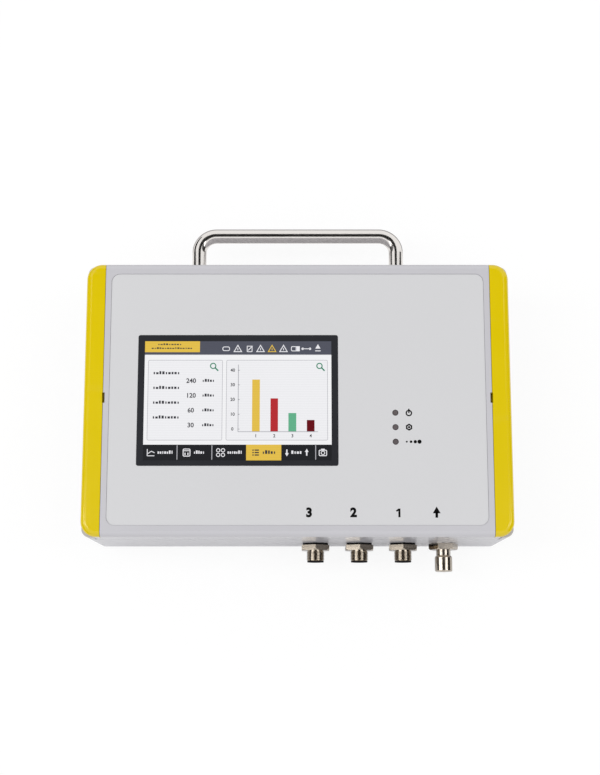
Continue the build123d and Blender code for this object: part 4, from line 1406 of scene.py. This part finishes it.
@dataclass
class FrontPrint:
    """Figures and plain signs printed on the front film, and dark rings of painted shade round the
    lights, in mm.
    """

    level: float = 89.6
    thickness: float = 0.02
    figure_height: float = 5.6
    figure_y: float = -75.3
    stroke: float = 0.42
    figures: tuple[tuple[str, float], ...] = (("3", 7.5), ("2", 36.1))
    one_x: float = 65.3
    inlet_x: float = 89.6
    light_x: float = 63.8
    # radius and width of the ring of painted shade round each light
    rim: Point = (2.0, 0.45)
    sign_x: float = 72.6
    sign_y: Place = (-9.95, -19.5, -29.05)
    dots: tuple[float, ...] = (0.6, 0.85, 1.1, 1.35)
    dot_start: float = -1.6
    dot_step: float = 2.75

    def labels(self, ink: Sheet) -> None:
        """Draws the number of each port and the arrow at the inlet.

        Args:
            ink: The layer.
        """
        y = self.figure_y
        for figure, x in self.figures:
            ink.numeral(figure, x, y, self.figure_height, self.stroke)
        ink.bar(self.one_x + 0.3, y, 1.35, self.figure_height)
        ink.bar(self.one_x - 0.75, y + self.figure_height / 2 - 1.05, 2.2, 1.1, 38)
        ink.bar(self.inlet_x, y - 1.2, 1.7, 3.8).disc(self.inlet_x, y + 1.2, 2.9, 3)

    def signs(self, ink: Sheet) -> None:
        """Draws the sign beside each light: power, service and counting.

        Args:
            ink: The layer.
        """
        x = self.sign_x
        power, service, counting = self.sign_y
        ink.ring(x, power - 0.25, 2.15, 0.85).bar(x, power + 1.2, 0.9, 2.8)
        ink.ring(x, service, 2.35, 0.95, 6).disc(x, service, 0.75)
        for i, radius in enumerate(self.dots):
            ink.disc(x + self.dot_start + self.dot_step * i, counting, radius)

    def build(self) -> list[bpy.types.Object]:
        """Models and dresses the print and the rings of painted shade round the lights.

        Returns:
            The finished pieces.
        """
        ink = Sheet("front_print", self.level, self.thickness)
        self.labels(ink)
        self.signs(ink)
        # painted shade: a dark ring round each light, where the gap between lens and hole lies in
        # shadow
        rims = Sheet("light_rims", self.level, self.thickness)
        for y in self.sign_y:
            rims.ring(self.light_x, y, *self.rim)
        return [
            ink.done(PRINT_INK.material("print_ink_finish"), "membrane"),
            rims.done(RIM_PAINTED_SHADE.material("light_rims_finish"), "led_lens"),
        ]


# ------------------------------------------------------------------ studio
@dataclass(frozen=True)
class Card:
    """A card that only reflections show, to give the metal its edges; a grey one on the floor
    paints the floor's shade into them. Places are in metres.
    """

    name: str
    place: Place
    size: Point
    upright: bool = True
    colour: Colour = tone(24, 23, 22)
    roughness: float = 0.9

    def stand(self) -> None:
        """Models the card and hides it from all but reflections."""
        Bench.clear()
        turn = (QUARTER, 0, QUARTER) if self.upright else (0, 0, 0)
        bpy.ops.mesh.primitive_plane_add(size=1, location=self.place, rotation=turn)
        bpy.context.object.scale = (*self.size, 1)
        card = Bench.settle(self.name)
        material = bpy.data.materials.new(f"{self.name}_finish")
        Graph(material).surface(Base_Color=self.colour, Roughness=self.roughness)
        card.data.materials.append(material)
        card.visible_camera = False
        card.visible_diffuse = False
        card.visible_shadow = False
        card.visible_transmission = False


CARDS = (
    Card("flag_left", (-0.55, 0, 0.15), (1.6, 0.30)),
    Card("flag_right", (0.55, -0.24, 0.21), (0.42, 0.42)),
    Card("flag_floor", (0, -0.135, 0.0004), (0.36, 0.088), False, tone(253, 253, 254)),
    # painted shade: a grey patch on the floor behind the housing that only reflections show,
    # standing in for the floor's shadow there
    Card("flag_back_painted_shade", (0, 0.22, 0.0004), (0.3, 0.18), False, tone(178, 176, 178)),
    Card("flag_above", (0, 0.36, 1.7), (1.2, 1.52), False),
    Card("flag_side_left", (-0.62, 0.14, 1.0), (0.3, 1.4)),
    Card("flag_side_right", (0.62, 0.14, 0.86), (0.3, 1.68)),
)


@dataclass
class Studio:
    """Floor, light and camera, in metres, degrees and watts."""

    eye: Place = (0.00164, -0.162, 0.9948)
    tilt: float = 10.56
    lens: float = 65.4
    sensor: float = 36.0
    floor_size: float = 12.0
    floor_tone: Colour = (0.86, 0.86, 0.86)
    floor_white: float = 0.8
    floor_glow: float = 1.06
    sky: float = 0.66
    lamp_size: Point = (0.55, 1.7)
    lamp_across: float = 1.16
    lamp_up: float = 1.6
    left_power: float = 9.0
    right_power: float = 6.0

    @staticmethod
    def seen(g: Graph) -> Signal:
        """Finds the rays that have to meet white.

        Args:
            g: The tree that uses them.

        Returns:
            1 for rays from the camera, off a glossy face or through glass, and 0 for others.
        """
        paths = g.add("ShaderNodeLightPath").outputs
        kinds = ("Camera", "Glossy", "Transmission")
        camera, glossy, clear = (Signal(g, paths[f"Is {kind} Ray"]) for kind in kinds)
        return (camera + glossy + clear).at_most(1.0)

    def floor(self) -> None:
        """Lays the pale floor, which shows white to the camera and keeps the shadow."""
        Bench.clear()
        bpy.ops.mesh.primitive_plane_add(size=self.floor_size)
        floor = Bench.settle("studio_floor")
        material = bpy.data.materials.new("studio_floor_finish")
        g = Graph(material)
        paper = g.add("ShaderNodeBsdfDiffuse", None, {"Color": (*self.floor_tone, 1)})
        white = g.add("ShaderNodeEmission", None, {"Color": WHITE, "Strength": self.floor_glow})
        g.either(self.seen(g) * self.floor_white, paper, white)
        floor.data.materials.append(material)

    def world(self) -> None:
        """Sets an even sky, white where it is seen."""
        world = bpy.data.worlds.new("studio_sky")
        bpy.context.scene.world = world
        g = Graph(world, "ShaderNodeOutputWorld")
        even = g.add("ShaderNodeBackground", None, {"Color": WHITE, "Strength": self.sky})
        white = g.add("ShaderNodeBackground", None, {"Color": WHITE, "Strength": 1.0})
        g.either(self.seen(g), even, white)

    def lamp(self, name: str, place: Place, power: float) -> None:
        """Hangs a long soft lamp that faces the object.

        Args:
            name: The lamp's name.
            place: Where it hangs, in metres.
            power: Its power, in watts.
        """
        light = bpy.data.lights.new(name, "AREA")
        light.shape = "RECTANGLE"
        light.size, light.size_y = self.lamp_size
        light.energy = power
        lamp = bpy.data.objects.new(name, light)
        lamp.location = place
        lamp.rotation_euler = (-Vector(place)).to_track_quat("-Z", "Y").to_euler()
        bpy.context.scene.collection.objects.link(lamp)

    def camera(self) -> None:
        """Sets the camera up."""
        data = bpy.data.cameras.new("camera")
        data.lens = self.lens
        data.sensor_width = self.sensor
        camera = bpy.data.objects.new("camera", data)
        camera.location = self.eye
        camera.rotation_euler = (math.radians(self.tilt), 0, 0)
        bpy.context.scene.collection.objects.link(camera)
        bpy.context.scene.camera = camera

    def build(self) -> None:
        """Sets the whole studio up."""
        self.floor()
        self.world()
        self.lamp("left_lamp", (-self.lamp_across, 0.0, self.lamp_up), self.left_power)
        self.lamp("right_lamp", (self.lamp_across, 0.0, self.lamp_up), self.right_power)
        for card in CARDS:
            card.stand()
        self.camera()
        bpy.context.scene.view_settings.view_transform = "Standard"


def main() -> None:
    """Builds the pieces in order, dresses the assembly and sets up the studio."""
    logging.basicConfig(level=logging.INFO, format="%(message)s")
    wardrobe = Wardrobe(frame["record"])
    wardrobe.dress_nodes(frame["nodes"])
    for assembly in (PortShells(wardrobe=wardrobe), Inlet(), Screen(), FrontPrint()):
        for piece in assembly.build():
            log.info("built %s", piece.name)
    Studio().build()
    Bench.clear()


if __name__ == "__main__":
    main()
